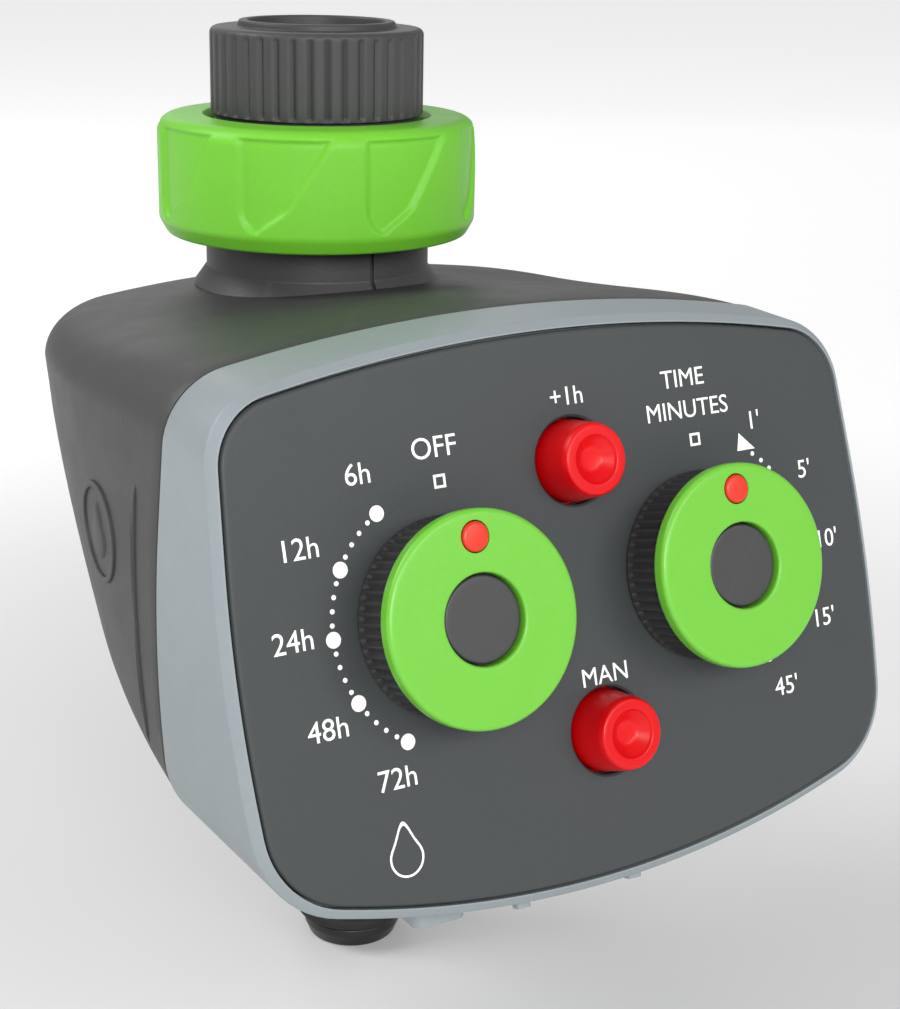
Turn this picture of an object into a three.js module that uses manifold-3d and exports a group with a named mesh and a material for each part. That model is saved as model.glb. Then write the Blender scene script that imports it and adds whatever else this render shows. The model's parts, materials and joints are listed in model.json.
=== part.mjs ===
// A battery-powered drip irrigation timer that screws onto a garden tap.
// Millimetres, +Z up, +Y towards the back, the dial panel faces -Y.
// The origin is the centre of the tap adapter's top face, on the inlet axis.
import * as THREE from "three";
import { mergeVertices } from "three/addons/utils/BufferGeometryUtils.js";
import Module from "manifold-3d";

const wasm = await Module();
wasm.setup();

// ---------------------------------------------------------------- driving dimensions
const GAP = 0.3; // clearance between neighbouring pieces
const DEGREE = Math.PI / 180;

// Inlet: adapter, union nut and the flanged spigot that the nut is captured on
const ADAPTER_RADIUS = 16.6;
const ADAPTER_COLLAR_HEIGHT = 13.1; // ribbed grip above the nut
const ADAPTER_HEIGHT = 21.5;
const ADAPTER_THREAD_RADIUS = 16.5;
const SOCKET_RADIUS = 10.5; // female thread for the tap
const SOCKET_DEPTH = 15;
const NUT_RADIUS = 25;
const NUT_TOP = -13.1;
const NUT_BOTTOM = -31.4;
const NUT_BORE = 16.9;
const NUT_GRIPS = 8;
const FLANGE_RADIUS = 16;
const FLANGE_TOP = -24.2;
const FLANGE_BOTTOM = -26.2;
const SPIGOT_RADIUS = 12.6;
const NECK_RADIUS = 17.7;

// Casing
const FACE_TILT = 16.7 * DEGREE; // the panel leans back
const FACE_CENTRE = new THREE.Vector3(0, -74.5, -68.8); // midway between the dials
const BEZEL_REAR = -54.1;
const HOUSING_FRONT = -53.3;
const HOUSING_LENGTH = 79.3; // front flange to the theoretical back end
const HOUSING_AXIS_Z = -48; // height that the sections shrink towards
const HOUSING_DEPTH = 59; // front flange's lowest point below that height
const HOUSING_TAPER = 0.3; // how much narrower the lower part gets towards the back
const WALL = 2.4;
const PANEL_THICKNESS = 2.2;

// Controls
const DIAL_SPACING = 42;
const DIAL_RADIUS = 14;
const DIAL_HEIGHT = 9.8;
const DIAL_HUB_RADIUS = 5.9;
const POINTER_OFFSET = 10.5;
const POINTER_RADIUS = 1.8;
const BUTTON_RADIUS = 5.6;
const BUTTON_HEIGHT = 5.5;
const BUTTON_ACROSS = 1.85; // both buttons sit a little to the right of the panel's middle
const BUTTON_HEIGHTS_ON_PANEL = { delay: 17.3, manual: -19.7 };
const PCB_FRONT = -10; // depth of the board's front face behind the panel's surface
const PCB_THICKNESS = 1.6;

// Valve and outlet
const VALVE_Y = -9;
const VALVE_Z = -68.15; // ball centre and split plane of the valve body
const BALL_RADIUS = 9.5;
const WATERWAY = 5.5;
const OUTLET_Y = -12;
const OUTLET_RADIUS = 8.5;
const OUTLET_END = -151;

// Gear train, all on axes along X
const VALVE_GEAR = { teeth: 40, module: 0.8 };
const IDLER_PINION = { teeth: 12, module: 0.8 };
const IDLER_WHEEL = { teeth: 36, module: 0.6 };
const MOTOR_PINION = { teeth: 12, module: 0.6 };
const IDLER_DIRECTION = 150 * DEGREE; // measured from +Y towards +Z
const MOTOR_DIRECTION = 200 * DEGREE;

// Battery drawer, in panel directions: u to the right, v up the panel, w out of it
const CELL_RADIUS = 5.2;
const CELL_LENGTH = 44;
const DRAWER = { u0: -34, u1: -10, v1: 15.5, w0: -28.2, w1: -15.2 };
const SLEEVE_WALL = 1.2;

// ---------------------------------------------------------------- materials
function finish(colour, roughness, metalness = 0) {
  return new THREE.MeshStandardMaterial({ color: colour, roughness, metalness });
}
const DARK_PLASTIC = finish(0x5a5a5a, 0.55);
const PANEL_PLASTIC = finish(0x55595a, 0.5);
const LIGHT_PLASTIC = finish(0x9aa1a3, 0.45);
const GREEN_PLASTIC = finish(0x7ccc4c, 0.4);
const RED_PLASTIC = finish(0xd81f28, 0.3);
const BLACK_RUBBER = finish(0x1c1c1d, 0.8);
const SILICONE = finish(0xb8bcb8, 0.6);
const CIRCUIT_GREEN = finish(0x1d5a35, 0.45);
const STEEL = finish(0xb9bcc0, 0.3, 1);
const BRASS = finish(0xc29a4b, 0.35, 1);
const NATURAL_NYLON = finish(0xe6e3d6, 0.5);
const BATTERY_WRAP = finish(0x2e5f92, 0.35);

// ---------------------------------------------------------------- solids
// Turns a closed geometry into a solid, with its faces pointing out.
function solid(geometry) {
  const bare = new THREE.BufferGeometry().setAttribute("position", geometry.getAttribute("position"));
  bare.setIndex(geometry.index);
  const merged = mergeVertices(bare, 1e-4);
  const corners = new Uint32Array(merged.index.array);
  const vertProperties = merged.attributes.position.array;
  const build = () => new wasm.Manifold(new wasm.Mesh({ numProp: 3, vertProperties, triVerts: corners }));
  const made = build();
  if (made.volume() > 0) return made;
  for (let i = 0; i < corners.length; i += 3) {
    [corners[i + 1], corners[i + 2]] = [corners[i + 2], corners[i + 1]];
  }
  return build();
}

function geometryOf(body) {
  const mesh = body.getMesh();
  const geometry = new THREE.BufferGeometry();
  geometry.setAttribute("position", new THREE.BufferAttribute(mesh.vertProperties, 3));
  geometry.setIndex(new THREE.BufferAttribute(mesh.triVerts, 1));
  const flat = geometry.toNonIndexed();
  flat.computeVertexNormals();
  return flat;
}

function join(...bodies) {
  return bodies.reduce((sum, body) => sum.add(body));
}

function cut(body, ...tools) {
  return tools.reduce((left, tool) => left.subtract(tool), body);
}

function box(x0, x1, y0, y1, z0, z1, matrix = null) {
  const geometry = new THREE.BoxGeometry(x1 - x0, y1 - y0, z1 - z0);
  geometry.translate((x0 + x1) / 2, (y0 + y1) / 2, (z0 + z1) / 2);
  if (matrix) geometry.applyMatrix4(matrix);
  return solid(geometry);
}

// A cylinder or cone along Z, or along another axis through a matrix.
function cylinder(radius, z0, z1, { x = 0, y = 0, top = radius, sides = 20, matrix = null } = {}) {
  const geometry = new THREE.CylinderGeometry(top, radius, z1 - z0, sides);
  geometry.rotateX(Math.PI / 2);
  geometry.translate(x, y, (z0 + z1) / 2);
  if (matrix) geometry.applyMatrix4(matrix);
  return solid(geometry);
}

// A profile of [radius, z] points turned about the Z axis. A profile that ends off the axis is closed.
function turned(profile, { x = 0, y = 0, sides = 28 } = {}) {
  const points = profile.map(([radius, z]) => new THREE.Vector2(radius, z));
  const last = points[points.length - 1];
  if (points[0].x > 0 || last.x > 0) points.push(points[0].clone());
  const geometry = new THREE.LatheGeometry(points, sides);
  geometry.rotateX(Math.PI / 2);
  geometry.translate(x, y, 0);
  return solid(geometry);
}

// A flat outline of [x, y] points given a thickness along Z.
function plate(points, z0, z1) {
  const shape = new THREE.Shape(points.map(([x, y]) => new THREE.Vector2(x, y)));
  const geometry = new THREE.ExtrudeGeometry(shape, { depth: z1 - z0, bevelEnabled: false });
  geometry.translate(0, 0, z0);
  return solid(geometry);
}

// Rings of the same number of points, skinned in order. An open stack is capped at both ends,
// and a closed one joins its last ring to its first, as a picture frame does.
function skinned(rings, closed = false) {
  const count = rings[0].length;
  const points = rings.flat();
  const index = [];
  const steps = closed ? rings.length : rings.length - 1;
  for (let r = 0; r < steps; r++) {
    const here = r * count;
    const next = ((r + 1) % rings.length) * count;
    for (let i = 0; i < count; i++) {
      const j = (i + 1) % count;
      index.push(here + i, here + j, next + j, here + i, next + j, next + i);
    }
  }
  if (!closed) {
    for (const [ring, first, flip] of [[rings[0], 0, true], [rings.at(-1), steps * count, false]]) {
      const centre = ring.reduce((sum, p) => sum.add(p), new THREE.Vector3()).divideScalar(count);
      points.push(centre);
      for (let i = 0; i < count; i++) {
        const j = (i + 1) % count;
        index.push(points.length - 1, first + (flip ? j : i), first + (flip ? i : j));
      }
    }
  }
  const geometry = new THREE.BufferGeometry().setFromPoints(points);
  geometry.setIndex(index);
  return solid(geometry);
}

// ---------------------------------------------------------------- outlines
// The corners of a convex polygon, listed anticlockwise as [x, y, radius], with each corner
// rounded to an arc of its radius plus an offset.
function roundedOutline(corners, offset = 0, steps = 4) {
  const points = [];
  corners.forEach(([x, y, radius], i) => {
    const before = corners.at(i - 1);
    const after = corners[(i + 1) % corners.length];
    const arriving = new THREE.Vector2(x - before[0], y - before[1]).normalize();
    const leaving = new THREE.Vector2(after[0] - x, after[1] - y).normalize();
    const turn = Math.acos(THREE.MathUtils.clamp(arriving.dot(leaving), -1, 1));
    const back = radius * Math.tan(turn / 2);
    const start = Math.atan2(-arriving.x, arriving.y);
    const centreX = x - arriving.x * back - radius * Math.cos(start);
    const centreY = y - arriving.y * back - radius * Math.sin(start);
    for (let k = 0; k <= steps; k++) {
      const angle = start + (turn * k) / steps;
      points.push([
        centreX + (radius + offset) * Math.cos(angle),
        centreY + (radius + offset) * Math.sin(angle),
      ]);
    }
  });
  return points;
}

// The panel's outline: crowned top and bottom, slightly bowed sides.
const PANEL_RIGHT = [
  [0, -44.2, 157],
  [49.8, -31, 12],
  [51.6, -4, 220],
  [49, 29.8, 9],
];
const PANEL_TOP = [0, 38.4, 227];
const PANEL_CORNERS = [
  ...PANEL_RIGHT,
  PANEL_TOP,
  ...PANEL_RIGHT.slice(1).reverse().map(([x, y, radius]) => [-x, y, radius]),
];

// ---------------------------------------------------------------- frames of reference
// The panel's own frame: X to the right, Y up the panel, Z out of it.
const FACE_MATRIX = new THREE.Matrix4()
  .makeRotationX(Math.PI / 2 - FACE_TILT)
  .setPosition(FACE_CENTRE);
// Pieces along +X: local Z is +X, local Y is +Y, local X is -Z.
const ALONG_X = new THREE.Matrix4().makeRotationY(Math.PI / 2);
// Pieces along +Y: local Z is +Y, local X is +X, local Y is -Z.
const ALONG_Y = new THREE.Matrix4().makeRotationX(-Math.PI / 2);

const timer = new THREE.Group();
const face = new THREE.Group(); // everything on the panel's own frame
face.applyMatrix4(FACE_MATRIX);
const gearbox = new THREE.Group(); // everything that turns about X
gearbox.applyMatrix4(ALONG_X);
timer.add(face, gearbox);

function part(name, body, material, parent = timer) {
  const mesh = new THREE.Mesh(geometryOf(body), material);
  mesh.name = name;
  parent.add(mesh);
  return mesh;
}

// ---------------------------------------------------------------- casing
function faceRing(offset, depth) {
  return roundedOutline(PANEL_CORNERS, offset).map(([u, v]) =>
    new THREE.Vector3(u, v, depth).applyMatrix4(FACE_MATRIX),
  );
}

// The same outline seen from straight ahead, at a given y. The taper narrows its lower part.
function uprightRing(offset, y, { wide = 1, up = 1, down = 1, taper = 0 } = {}) {
  return roundedOutline(PANEL_CORNERS, offset).map(([u, v]) => {
    const height = FACE_CENTRE.z + v * Math.cos(FACE_TILT) - HOUSING_AXIS_Z;
    const depth = Math.max(0, -height) / HOUSING_DEPTH;
    return new THREE.Vector3(
      u * wide * (1 - taper * depth),
      y,
      HOUSING_AXIS_Z + height * (height > 0 ? up : down),
    );
  });
}

const BEZEL_OFFSET = 1.7;
const BEZEL_LIP_DEPTH = 3;
const LEDGE_DEPTH = PANEL_THICKNESS + GAP;
const SCREW_PLACES = [
  [-45.4, -50.5],
  [45.4, -50.5],
  [-45.4, -91],
  [45.4, -91],
];
const SCREW_BOSS_RADIUS = 4.5;
const SCREW_SEAT_Y = -62; // the heads sit on the bezel's bosses, behind the panel
const SCREW_END_Y = -45;

function alongY(radius, y0, y1, x, z, sides = 16) {
  return cylinder(radius, y0, y1, { x, y: -z, sides, matrix: ALONG_Y });
}

// The box that the drawer fills, grown by a clearance, running out through the bottom of the casing.
function drawerBox(clearance, v0 = -60, v1 = DRAWER.v1) {
  return box(
    DRAWER.u0 - clearance, DRAWER.u1 + clearance,
    v0, v1 + clearance,
    DRAWER.w0 - clearance, DRAWER.w1 + clearance,
    FACE_MATRIX,
  );
}

function frontBezel() {
  const frame = skinned(
    [
      uprightRing(BEZEL_OFFSET, BEZEL_REAR),
      faceRing(BEZEL_OFFSET, -BEZEL_LIP_DEPTH),
      faceRing(0.5, -0.1),
      faceRing(GAP, -0.1),
      faceRing(GAP, -LEDGE_DEPTH),
      faceRing(-1.8, -LEDGE_DEPTH),
      faceRing(-1.8, -LEDGE_DEPTH - 1.5),
      faceRing(BEZEL_OFFSET - WALL, -LEDGE_DEPTH - 2.6),
      uprightRing(BEZEL_OFFSET - WALL, BEZEL_REAR),
    ],
    true,
  );
  const bosses = SCREW_PLACES.map(([x, z]) => alongY(SCREW_BOSS_RADIUS, SCREW_SEAT_Y, BEZEL_REAR, x, z));
  const holes = SCREW_PLACES.map(([x, z]) => alongY(1.8, SCREW_SEAT_Y - 1, BEZEL_REAR + 1, x, z, 12));
  return cut(join(frame, ...bosses), ...holes, drawerBox(GAP));
}

// Falls from 1 at the front to 0 at the back, and stays full for longer at a higher power.
function superellipse(along, power) {
  return (1 - along ** power) ** (1 / power);
}

function housingShell(inset) {
  const length = HOUSING_LENGTH - inset;
  const rings = [];
  const steps = 9;
  for (let i = 0; i <= steps; i++) {
    const along = 0.99 * Math.sin((Math.PI / 2) * (i / steps));
    const settle = THREE.MathUtils.smoothstep(along, 0, 0.6);
    rings.push(
      uprightRing(1.4 - inset, HOUSING_FRONT + length * along, {
        wide: superellipse(along, 3.3),
        up: (1 - 0.33 * settle) * superellipse(along, 4),
        down: superellipse(along, 1.95),
        taper: HOUSING_TAPER * along,
      }),
    );
  }
  return skinned(rings);
}

const NECK_TOP = NUT_BOTTOM - 0.5;
const GASKET_INSET = 1.2;
const GASKET_WIDTH = 0.9;

function gasketRing(depth, grow) {
  const outer = 1.4 - GASKET_INSET + GASKET_WIDTH / 2 + grow;
  const inner = 1.4 - GASKET_INSET - GASKET_WIDTH / 2 - grow;
  const front = HOUSING_FRONT - 0.5;
  return skinned(
    [
      uprightRing(outer, front - grow),
      uprightRing(outer, HOUSING_FRONT + depth),
      uprightRing(inner, HOUSING_FRONT + depth),
      uprightRing(inner, front - grow),
    ],
    true,
  );
}

function rearHousing() {
  const outside = housingShell(0);
  const opening = skinned([
    uprightRing(1.4 - WALL, HOUSING_FRONT - 1),
    uprightRing(1.4 - WALL, HOUSING_FRONT + 0.1),
  ]);
  const bosses = SCREW_PLACES.map(([x, z]) =>
    alongY(SCREW_BOSS_RADIUS, HOUSING_FRONT, SCREW_END_Y + 3, x, z),
  );
  const neck = turned([
    [0, NECK_TOP],
    [NECK_RADIUS - 0.5, NECK_TOP],
    [NECK_RADIUS, NECK_TOP - 0.5],
    [NECK_RADIUS, -35.5],
    [18.6, -37.5],
    [20.6, -39.2],
    [20.6, -41.8],
    [0, -41.8],
  ]);
  const outletBoss = cylinder(13.4, -112, -88, { y: OUTLET_Y, sides: 32 });
  const body = join(
    cut(outside, housingShell(WALL), opening),
    join(...bosses).intersect(outside),
    neck,
    outletBoss,
  );
  const holes = SCREW_PLACES.map(([x, z]) => alongY(1.75, HOUSING_FRONT - 1, SCREW_END_Y + 0.5, x, z, 12));
  return cut(
    body,
    ...holes,
    gasketRing(1.2, 0.15),
    cylinder(SPIGOT_RADIUS + GAP, -50, -20),
    cylinder(10.5 + GAP, -120, -80, { y: OUTLET_Y }),
  );
}

part("front_bezel", frontBezel(), LIGHT_PLASTIC);
part("rear_housing", rearHousing(), DARK_PLASTIC);
part("housing_gasket", gasketRing(0.9, 0), BLACK_RUBBER);

const SIDE_NAMES = ["left_upper", "right_upper", "left_lower", "right_lower"];
SCREW_PLACES.forEach(([x, z], i) => {
  const head = alongY(2.5, SCREW_SEAT_Y - GAP - 1.6, SCREW_SEAT_Y - GAP, x, z);
  const recess = alongY(1.2, SCREW_SEAT_Y - 3, SCREW_SEAT_Y - GAP - 0.8, x, z, 4);
  const shank = alongY(1.45, SCREW_SEAT_Y - 1, SCREW_END_Y, x, z, 12);
  part(`housing_screw_${SIDE_NAMES[i]}`, join(cut(head, recess), shank), STEEL);
});

// ---------------------------------------------------------------- control panel, in its own frame
const DIAL_PLACES = { frequency: -DIAL_SPACING / 2, duration: DIAL_SPACING / 2 };
const POSTS = [
  [-37, 22],
  [37, 22],
  [-37, -22],
  [37, -22],
];
const SHAFT_HOLE = 4.5;
const BUTTON_HOLE = BUTTON_RADIUS + 0.4;

function buttonHoles(z0, z1) {
  const heights = Object.values(BUTTON_HEIGHTS_ON_PANEL);
  return heights.map((y) => cylinder(BUTTON_HOLE, z0, z1, { x: BUTTON_ACROSS, y }));
}

function controlPanel() {
  const posts = POSTS.map(([x, y]) =>
    join(
      cylinder(2.4, PCB_FRONT + GAP, -1, { x, y, sides: 16 }),
      cylinder(1.2, PCB_FRONT - PCB_THICKNESS - 1, PCB_FRONT + 1, { x, y, sides: 12 }),
    ),
  );
  const shaftHoles = Object.values(DIAL_PLACES).map((x) => cylinder(SHAFT_HOLE, -4, 1, { x }));
  return cut(
    join(plate(roundedOutline(PANEL_CORNERS), -PANEL_THICKNESS, 0), ...posts),
    ...shaftHoles,
    ...buttonHoles(-4, 1),
  );
}

const MEMBRANE_FRONT = -PANEL_THICKNESS - GAP;

function membrane() {
  const holes = [
    ...POSTS.map(([x, y]) => cylinder(2.8, -5, 0, { x, y, sides: 16 })),
    ...Object.values(DIAL_PLACES).map((x) => cylinder(SHAFT_HOLE, -5, 0, { x })),
    ...buttonHoles(-5, 0),
  ];
  return cut(box(-41, 41, -27, 27, MEMBRANE_FRONT - 0.8, MEMBRANE_FRONT), ...holes);
}

function circuitBoard() {
  const outline = roundedOutline([[-40.5, -27, 3], [40.5, -27, 3], [40.5, 26, 3], [-40.5, 26, 3]], 0, 3);
  const board = plate(outline, PCB_FRONT - PCB_THICKNESS, PCB_FRONT);
  const holes = POSTS.map(([x, y]) => cylinder(1.5, -14, -8, { x, y, sides: 12 }));
  const chip = box(-6, 6, -4.5, 5.5, PCB_FRONT - 0.1, PCB_FRONT + 1.6);
  const capacitors = [-8, 8].map((x) =>
    cylinder(2.5, PCB_FRONT - 0.1, PCB_FRONT + 5, { x, y: -12, sides: 12 }),
  );
  return join(cut(board, ...holes), chip, ...capacitors);
}

part("control_panel", controlPanel(), PANEL_PLASTIC, face);
part("silicone_membrane", membrane(), SILICONE, face);
part("circuit_board", circuitBoard(), CIRCUIT_GREEN, face);

// A dial: knurled knob, green ring pressed on it, red pointer pin and the shaft inside.
const KNURLS = 24;
const KNOB_RADIUS = 13.3;
const RING_BOTTOM = 7.6;

function knob() {
  const outline = [];
  for (let i = 0; i < KNURLS * 4; i++) {
    const angle = (i * 2 * Math.PI) / (KNURLS * 4);
    const radius = i % 4 < 2 ? KNOB_RADIUS : KNOB_RADIUS - 0.7;
    outline.push([radius * Math.cos(angle), radius * Math.sin(angle)]);
  }
  const skirt = plate(outline, 0.5, RING_BOTTOM - GAP);
  const hub = cylinder(DIAL_HUB_RADIUS - GAP, RING_BOTTOM - 1, DIAL_HEIGHT - 0.7);
  const boss = cylinder(SHAFT_HOLE - 0.5, -3.9, 1);
  return cut(join(skirt, hub, boss), cylinder(3, -6, 6, { sides: 20 }));
}

function dialRing() {
  const ring = turned([
    [DIAL_HUB_RADIUS, RING_BOTTOM],
    [DIAL_RADIUS, RING_BOTTOM],
    [DIAL_RADIUS, DIAL_HEIGHT - 0.6],
    [DIAL_RADIUS - 0.6, DIAL_HEIGHT],
    [DIAL_HUB_RADIUS + 0.3, DIAL_HEIGHT],
    [DIAL_HUB_RADIUS, DIAL_HEIGHT - 0.3],
  ], { sides: 36 });
  return cut(ring, cylinder(POINTER_RADIUS + GAP, 6, 12, { y: POINTER_OFFSET, sides: 20 }));
}

function potentiometer() {
  const can = cylinder(8, PCB_FRONT + GAP, -4.6);
  return cut(can, cylinder(3, -12, 0, { sides: 20 }));
}

for (const [name, x] of Object.entries(DIAL_PLACES)) {
  const dial = new THREE.Group();
  dial.position.x = x;
  face.add(dial);
  part(`${name}_knob`, knob(), DARK_PLASTIC, dial);
  part(`${name}_ring`, dialRing(), GREEN_PLASTIC, dial);
  const pointerPlace = { y: POINTER_OFFSET, sides: 20 };
  const pointer = cylinder(POINTER_RADIUS, RING_BOTTOM + 0.1, DIAL_HEIGHT + 0.5, pointerPlace);
  part(`${name}_pointer`, pointer, RED_PLASTIC, dial);
  part(`${name}_shaft`, cylinder(2.7, PCB_FRONT + 0.6, 5.6, { sides: 20 }), BRASS, dial);
  part(`${name}_potentiometer`, potentiometer(), STEEL, dial);
}

// A push button: a dished red cap held behind the panel by its flange.
function buttonCap() {
  return turned([
    [0, BUTTON_HEIGHT - 1.6],
    [2.2, BUTTON_HEIGHT - 1.2],
    [3.3, BUTTON_HEIGHT],
    [4.5, BUTTON_HEIGHT],
    [4.9, BUTTON_HEIGHT - 0.5],
    [BUTTON_RADIUS, 0],
    [BUTTON_RADIUS, -3.6],
    [7, -3.6],
    [7, -4.5],
    [0, -4.5],
  ], { sides: 24 });
}

function tactSwitch() {
  const can = box(-3, 3, -3, 3, PCB_FRONT + GAP, -6.5);
  return join(can, cylinder(1.7, -7, -6, { sides: 16 }));
}

for (const [name, y] of Object.entries(BUTTON_HEIGHTS_ON_PANEL)) {
  const place = new THREE.Group();
  place.position.set(BUTTON_ACROSS, y, 0);
  face.add(place);
  part(`${name}_button`, buttonCap(), RED_PLASTIC, place);
  part(`${name}_switch`, tactSwitch(), STEEL, place);
}

// ---------------------------------------------------------------- battery drawer, along the panel
const LID_TAB = { x0: -27.5, x1: -19.5, y0: -79, y1: -66 };
const CELL_PLACES = [-27.6, -16.4];
const CELL_BOTTOM = -CELL_LENGTH + DRAWER.v1 - 1.5;
const CELL_DEPTH = (DRAWER.w0 + DRAWER.w1) / 2;

function panelCylinder(radius, v0, v1, u, w, sides = 20) {
  const turn = new THREE.Matrix4().makeRotationX(-Math.PI / 2);
  const matrix = FACE_MATRIX.clone().multiply(turn);
  return cylinder(radius, v0, v1, { x: u, y: -w, sides, matrix });
}

function batteryDrawer() {
  const { u0, u1, v1, w0, w1 } = DRAWER;
  const tray = cut(
    box(u0, u1, CELL_BOTTOM - 1.6, v1, w0, w1, FACE_MATRIX),
    box(u0 + 1, u1 - 1, CELL_BOTTOM - 0.6, v1 + 1, w0 + 1, w1 + 5, FACE_MATRIX),
  );
  const solidCasing = skinned([
    uprightRing(BEZEL_OFFSET, BEZEL_REAR),
    faceRing(BEZEL_OFFSET, -BEZEL_LIP_DEPTH),
  ]);
  const lid = drawerBox(0, -60, CELL_BOTTOM - 1).intersect(solidCasing);
  const stem = box(LID_TAB.x0, LID_TAB.x1, -70, LID_TAB.y1, -109, -103);
  const tab = box(LID_TAB.x0, LID_TAB.x1, LID_TAB.y0, LID_TAB.y1, -110.6, -107.8);
  return join(tray, lid, stem.intersect(drawerBox(0)), tab);
}

function batterySleeve() {
  const { u0, u1, v1, w0, w1 } = DRAWER;
  const grow = GAP + SLEEVE_WALL;
  const outside = box(u0 - grow, u1 + grow, -24, v1 + 3 + SLEEVE_WALL, w0 - grow, w1 + grow, FACE_MATRIX);
  return cut(outside, drawerBox(GAP, -60, v1 + 2.7));
}

function cell(u) {
  const top = CELL_BOTTOM + CELL_LENGTH;
  return join(
    panelCylinder(CELL_RADIUS, CELL_BOTTOM, top - 0.9, u, CELL_DEPTH),
    panelCylinder(1.9, top - 1, top, u, CELL_DEPTH, 12),
  );
}

part("battery_drawer", batteryDrawer(), LIGHT_PLASTIC);
part("battery_sleeve", batterySleeve(), DARK_PLASTIC);
CELL_PLACES.forEach((u, i) => part(`battery_${i + 1}`, cell(u), BATTERY_WRAP));

// ---------------------------------------------------------------- inlet
function ribbedOutline(radius, ribs, depth) {
  const points = [];
  for (let i = 0; i < ribs; i++) {
    for (const [share, inset] of [[0, depth], [0.25, depth], [0.4, 0], [0.85, 0]]) {
      const angle = ((i + share) * 2 * Math.PI) / ribs;
      points.push([(radius - inset) * Math.cos(angle), (radius - inset) * Math.sin(angle)]);
    }
  }
  return points;
}

function tapAdapter() {
  const grip = plate(ribbedOutline(ADAPTER_RADIUS, 32, 0.5), -ADAPTER_COLLAR_HEIGHT, -0.8);
  const core = turned([
    [0, 0],
    [15.4, 0],
    [16, -0.8],
    [16, -ADAPTER_COLLAR_HEIGHT],
    [ADAPTER_THREAD_RADIUS, -ADAPTER_COLLAR_HEIGHT - 0.5],
    [ADAPTER_THREAD_RADIUS, -ADAPTER_HEIGHT + 0.8],
    [ADAPTER_THREAD_RADIUS - 0.8, -ADAPTER_HEIGHT],
    [0, -ADAPTER_HEIGHT],
  ], { sides: 36 });
  return cut(
    join(core, grip),
    cylinder(SOCKET_RADIUS, -SOCKET_DEPTH - 2.6, 1, { sides: 36 }),
    cylinder(WATERWAY + 0.5, -ADAPTER_HEIGHT - 1, -1),
  );
}

// Each grip is a fin-shaped hollow: one upright edge, and one that leans away towards the top.
function nutGrips() {
  const depth = 0.9;
  const hollows = [];
  for (let i = 0; i < NUT_GRIPS; i++) {
    const fin = new THREE.Shape();
    fin.moveTo(-6.5, 6.5);
    fin.lineTo(-6.2, -3.5);
    fin.quadraticCurveTo(-5.8, -7, -4, -6.4);
    fin.quadraticCurveTo(-1.5, -5.2, 7.5, 6.5);
    const geometry = new THREE.ExtrudeGeometry(fin, { depth: 6, bevelEnabled: false, curveSegments: 4 });
    geometry.rotateX(Math.PI / 2);
    geometry.translate(0, -NUT_RADIUS + 3, (NUT_TOP + NUT_BOTTOM) / 2 + 1);
    geometry.rotateZ((i * 2 * Math.PI) / NUT_GRIPS);
    hollows.push(solid(geometry));
  }
  const rind = cut(
    cylinder(NUT_RADIUS + 1, NUT_BOTTOM - 1, NUT_TOP + 1, { sides: 36 }),
    cylinder(NUT_RADIUS - depth, NUT_BOTTOM - 2, NUT_TOP + 2, { sides: 36 }),
  );
  return join(...hollows).intersect(rind);
}

function inletNut() {
  const body = turned([
    [13, NUT_BOTTOM],
    [23.4, NUT_BOTTOM],
    [24.6, NUT_BOTTOM + 1],
    [NUT_RADIUS, NUT_BOTTOM + 2.4],
    [NUT_RADIUS, NUT_TOP - 3],
    [24.2, NUT_TOP - 1.2],
    [22.4, NUT_TOP],
    [NUT_BORE, NUT_TOP],
    [NUT_BORE, FLANGE_BOTTOM - GAP],
    [13, FLANGE_BOTTOM - GAP],
  ], { sides: 36 });
  return cut(body, nutGrips());
}

const adapterSeal = turned([
  [WATERWAY + 0.5, -SOCKET_DEPTH - 2.3],
  [SOCKET_RADIUS - GAP, -SOCKET_DEPTH - 2.3],
  [SOCKET_RADIUS - GAP, -SOCKET_DEPTH],
  [WATERWAY + 0.5, -SOCKET_DEPTH],
], { sides: 28 });

const inletWasher = turned([
  [11.2, FLANGE_TOP + GAP],
  [15.8, FLANGE_TOP + GAP],
  [15.8, -ADAPTER_HEIGHT - 0.4],
  [11.2, -ADAPTER_HEIGHT - 0.4],
], { sides: 32 });

const inletFilter = turned([
  [0, -41],
  [5.5, -41],
  [7.6, FLANGE_TOP - 1.4],
  [10.4, FLANGE_TOP - 1.4],
  [10.4, FLANGE_TOP - 0.6],
  [6.9, FLANGE_TOP - 0.6],
  [4.9, -40.2],
  [0, -40.2],
], { sides: 24 });

part("tap_adapter", tapAdapter(), DARK_PLASTIC);
part("inlet_nut", inletNut(), GREEN_PLASTIC);
part("adapter_seal", adapterSeal, BLACK_RUBBER);
part("inlet_washer", inletWasher, BLACK_RUBBER);
part("inlet_filter", inletFilter, NATURAL_NYLON);

// ---------------------------------------------------------------- valve
const CHAMBER_RADIUS = 10.2;
const BLOCK_RADIUS = 15;
const BLOCK_HALF_HEIGHT = 12;
const STEM_RADIUS = 3;
const STEM_BOSS_END = 22;
const VALVE_SCREW_REACH = 13.1;
const VALVE_SCREWS = [
  [-VALVE_SCREW_REACH, VALVE_Y + VALVE_SCREW_REACH],
  [VALVE_SCREW_REACH, VALVE_Y - VALVE_SCREW_REACH],
];

function alongX(radius, x0, x1, y, z, sides = 20) {
  return cylinder(radius, x0, x1, { x: -z, y, sides, matrix: ALONG_X });
}

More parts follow.
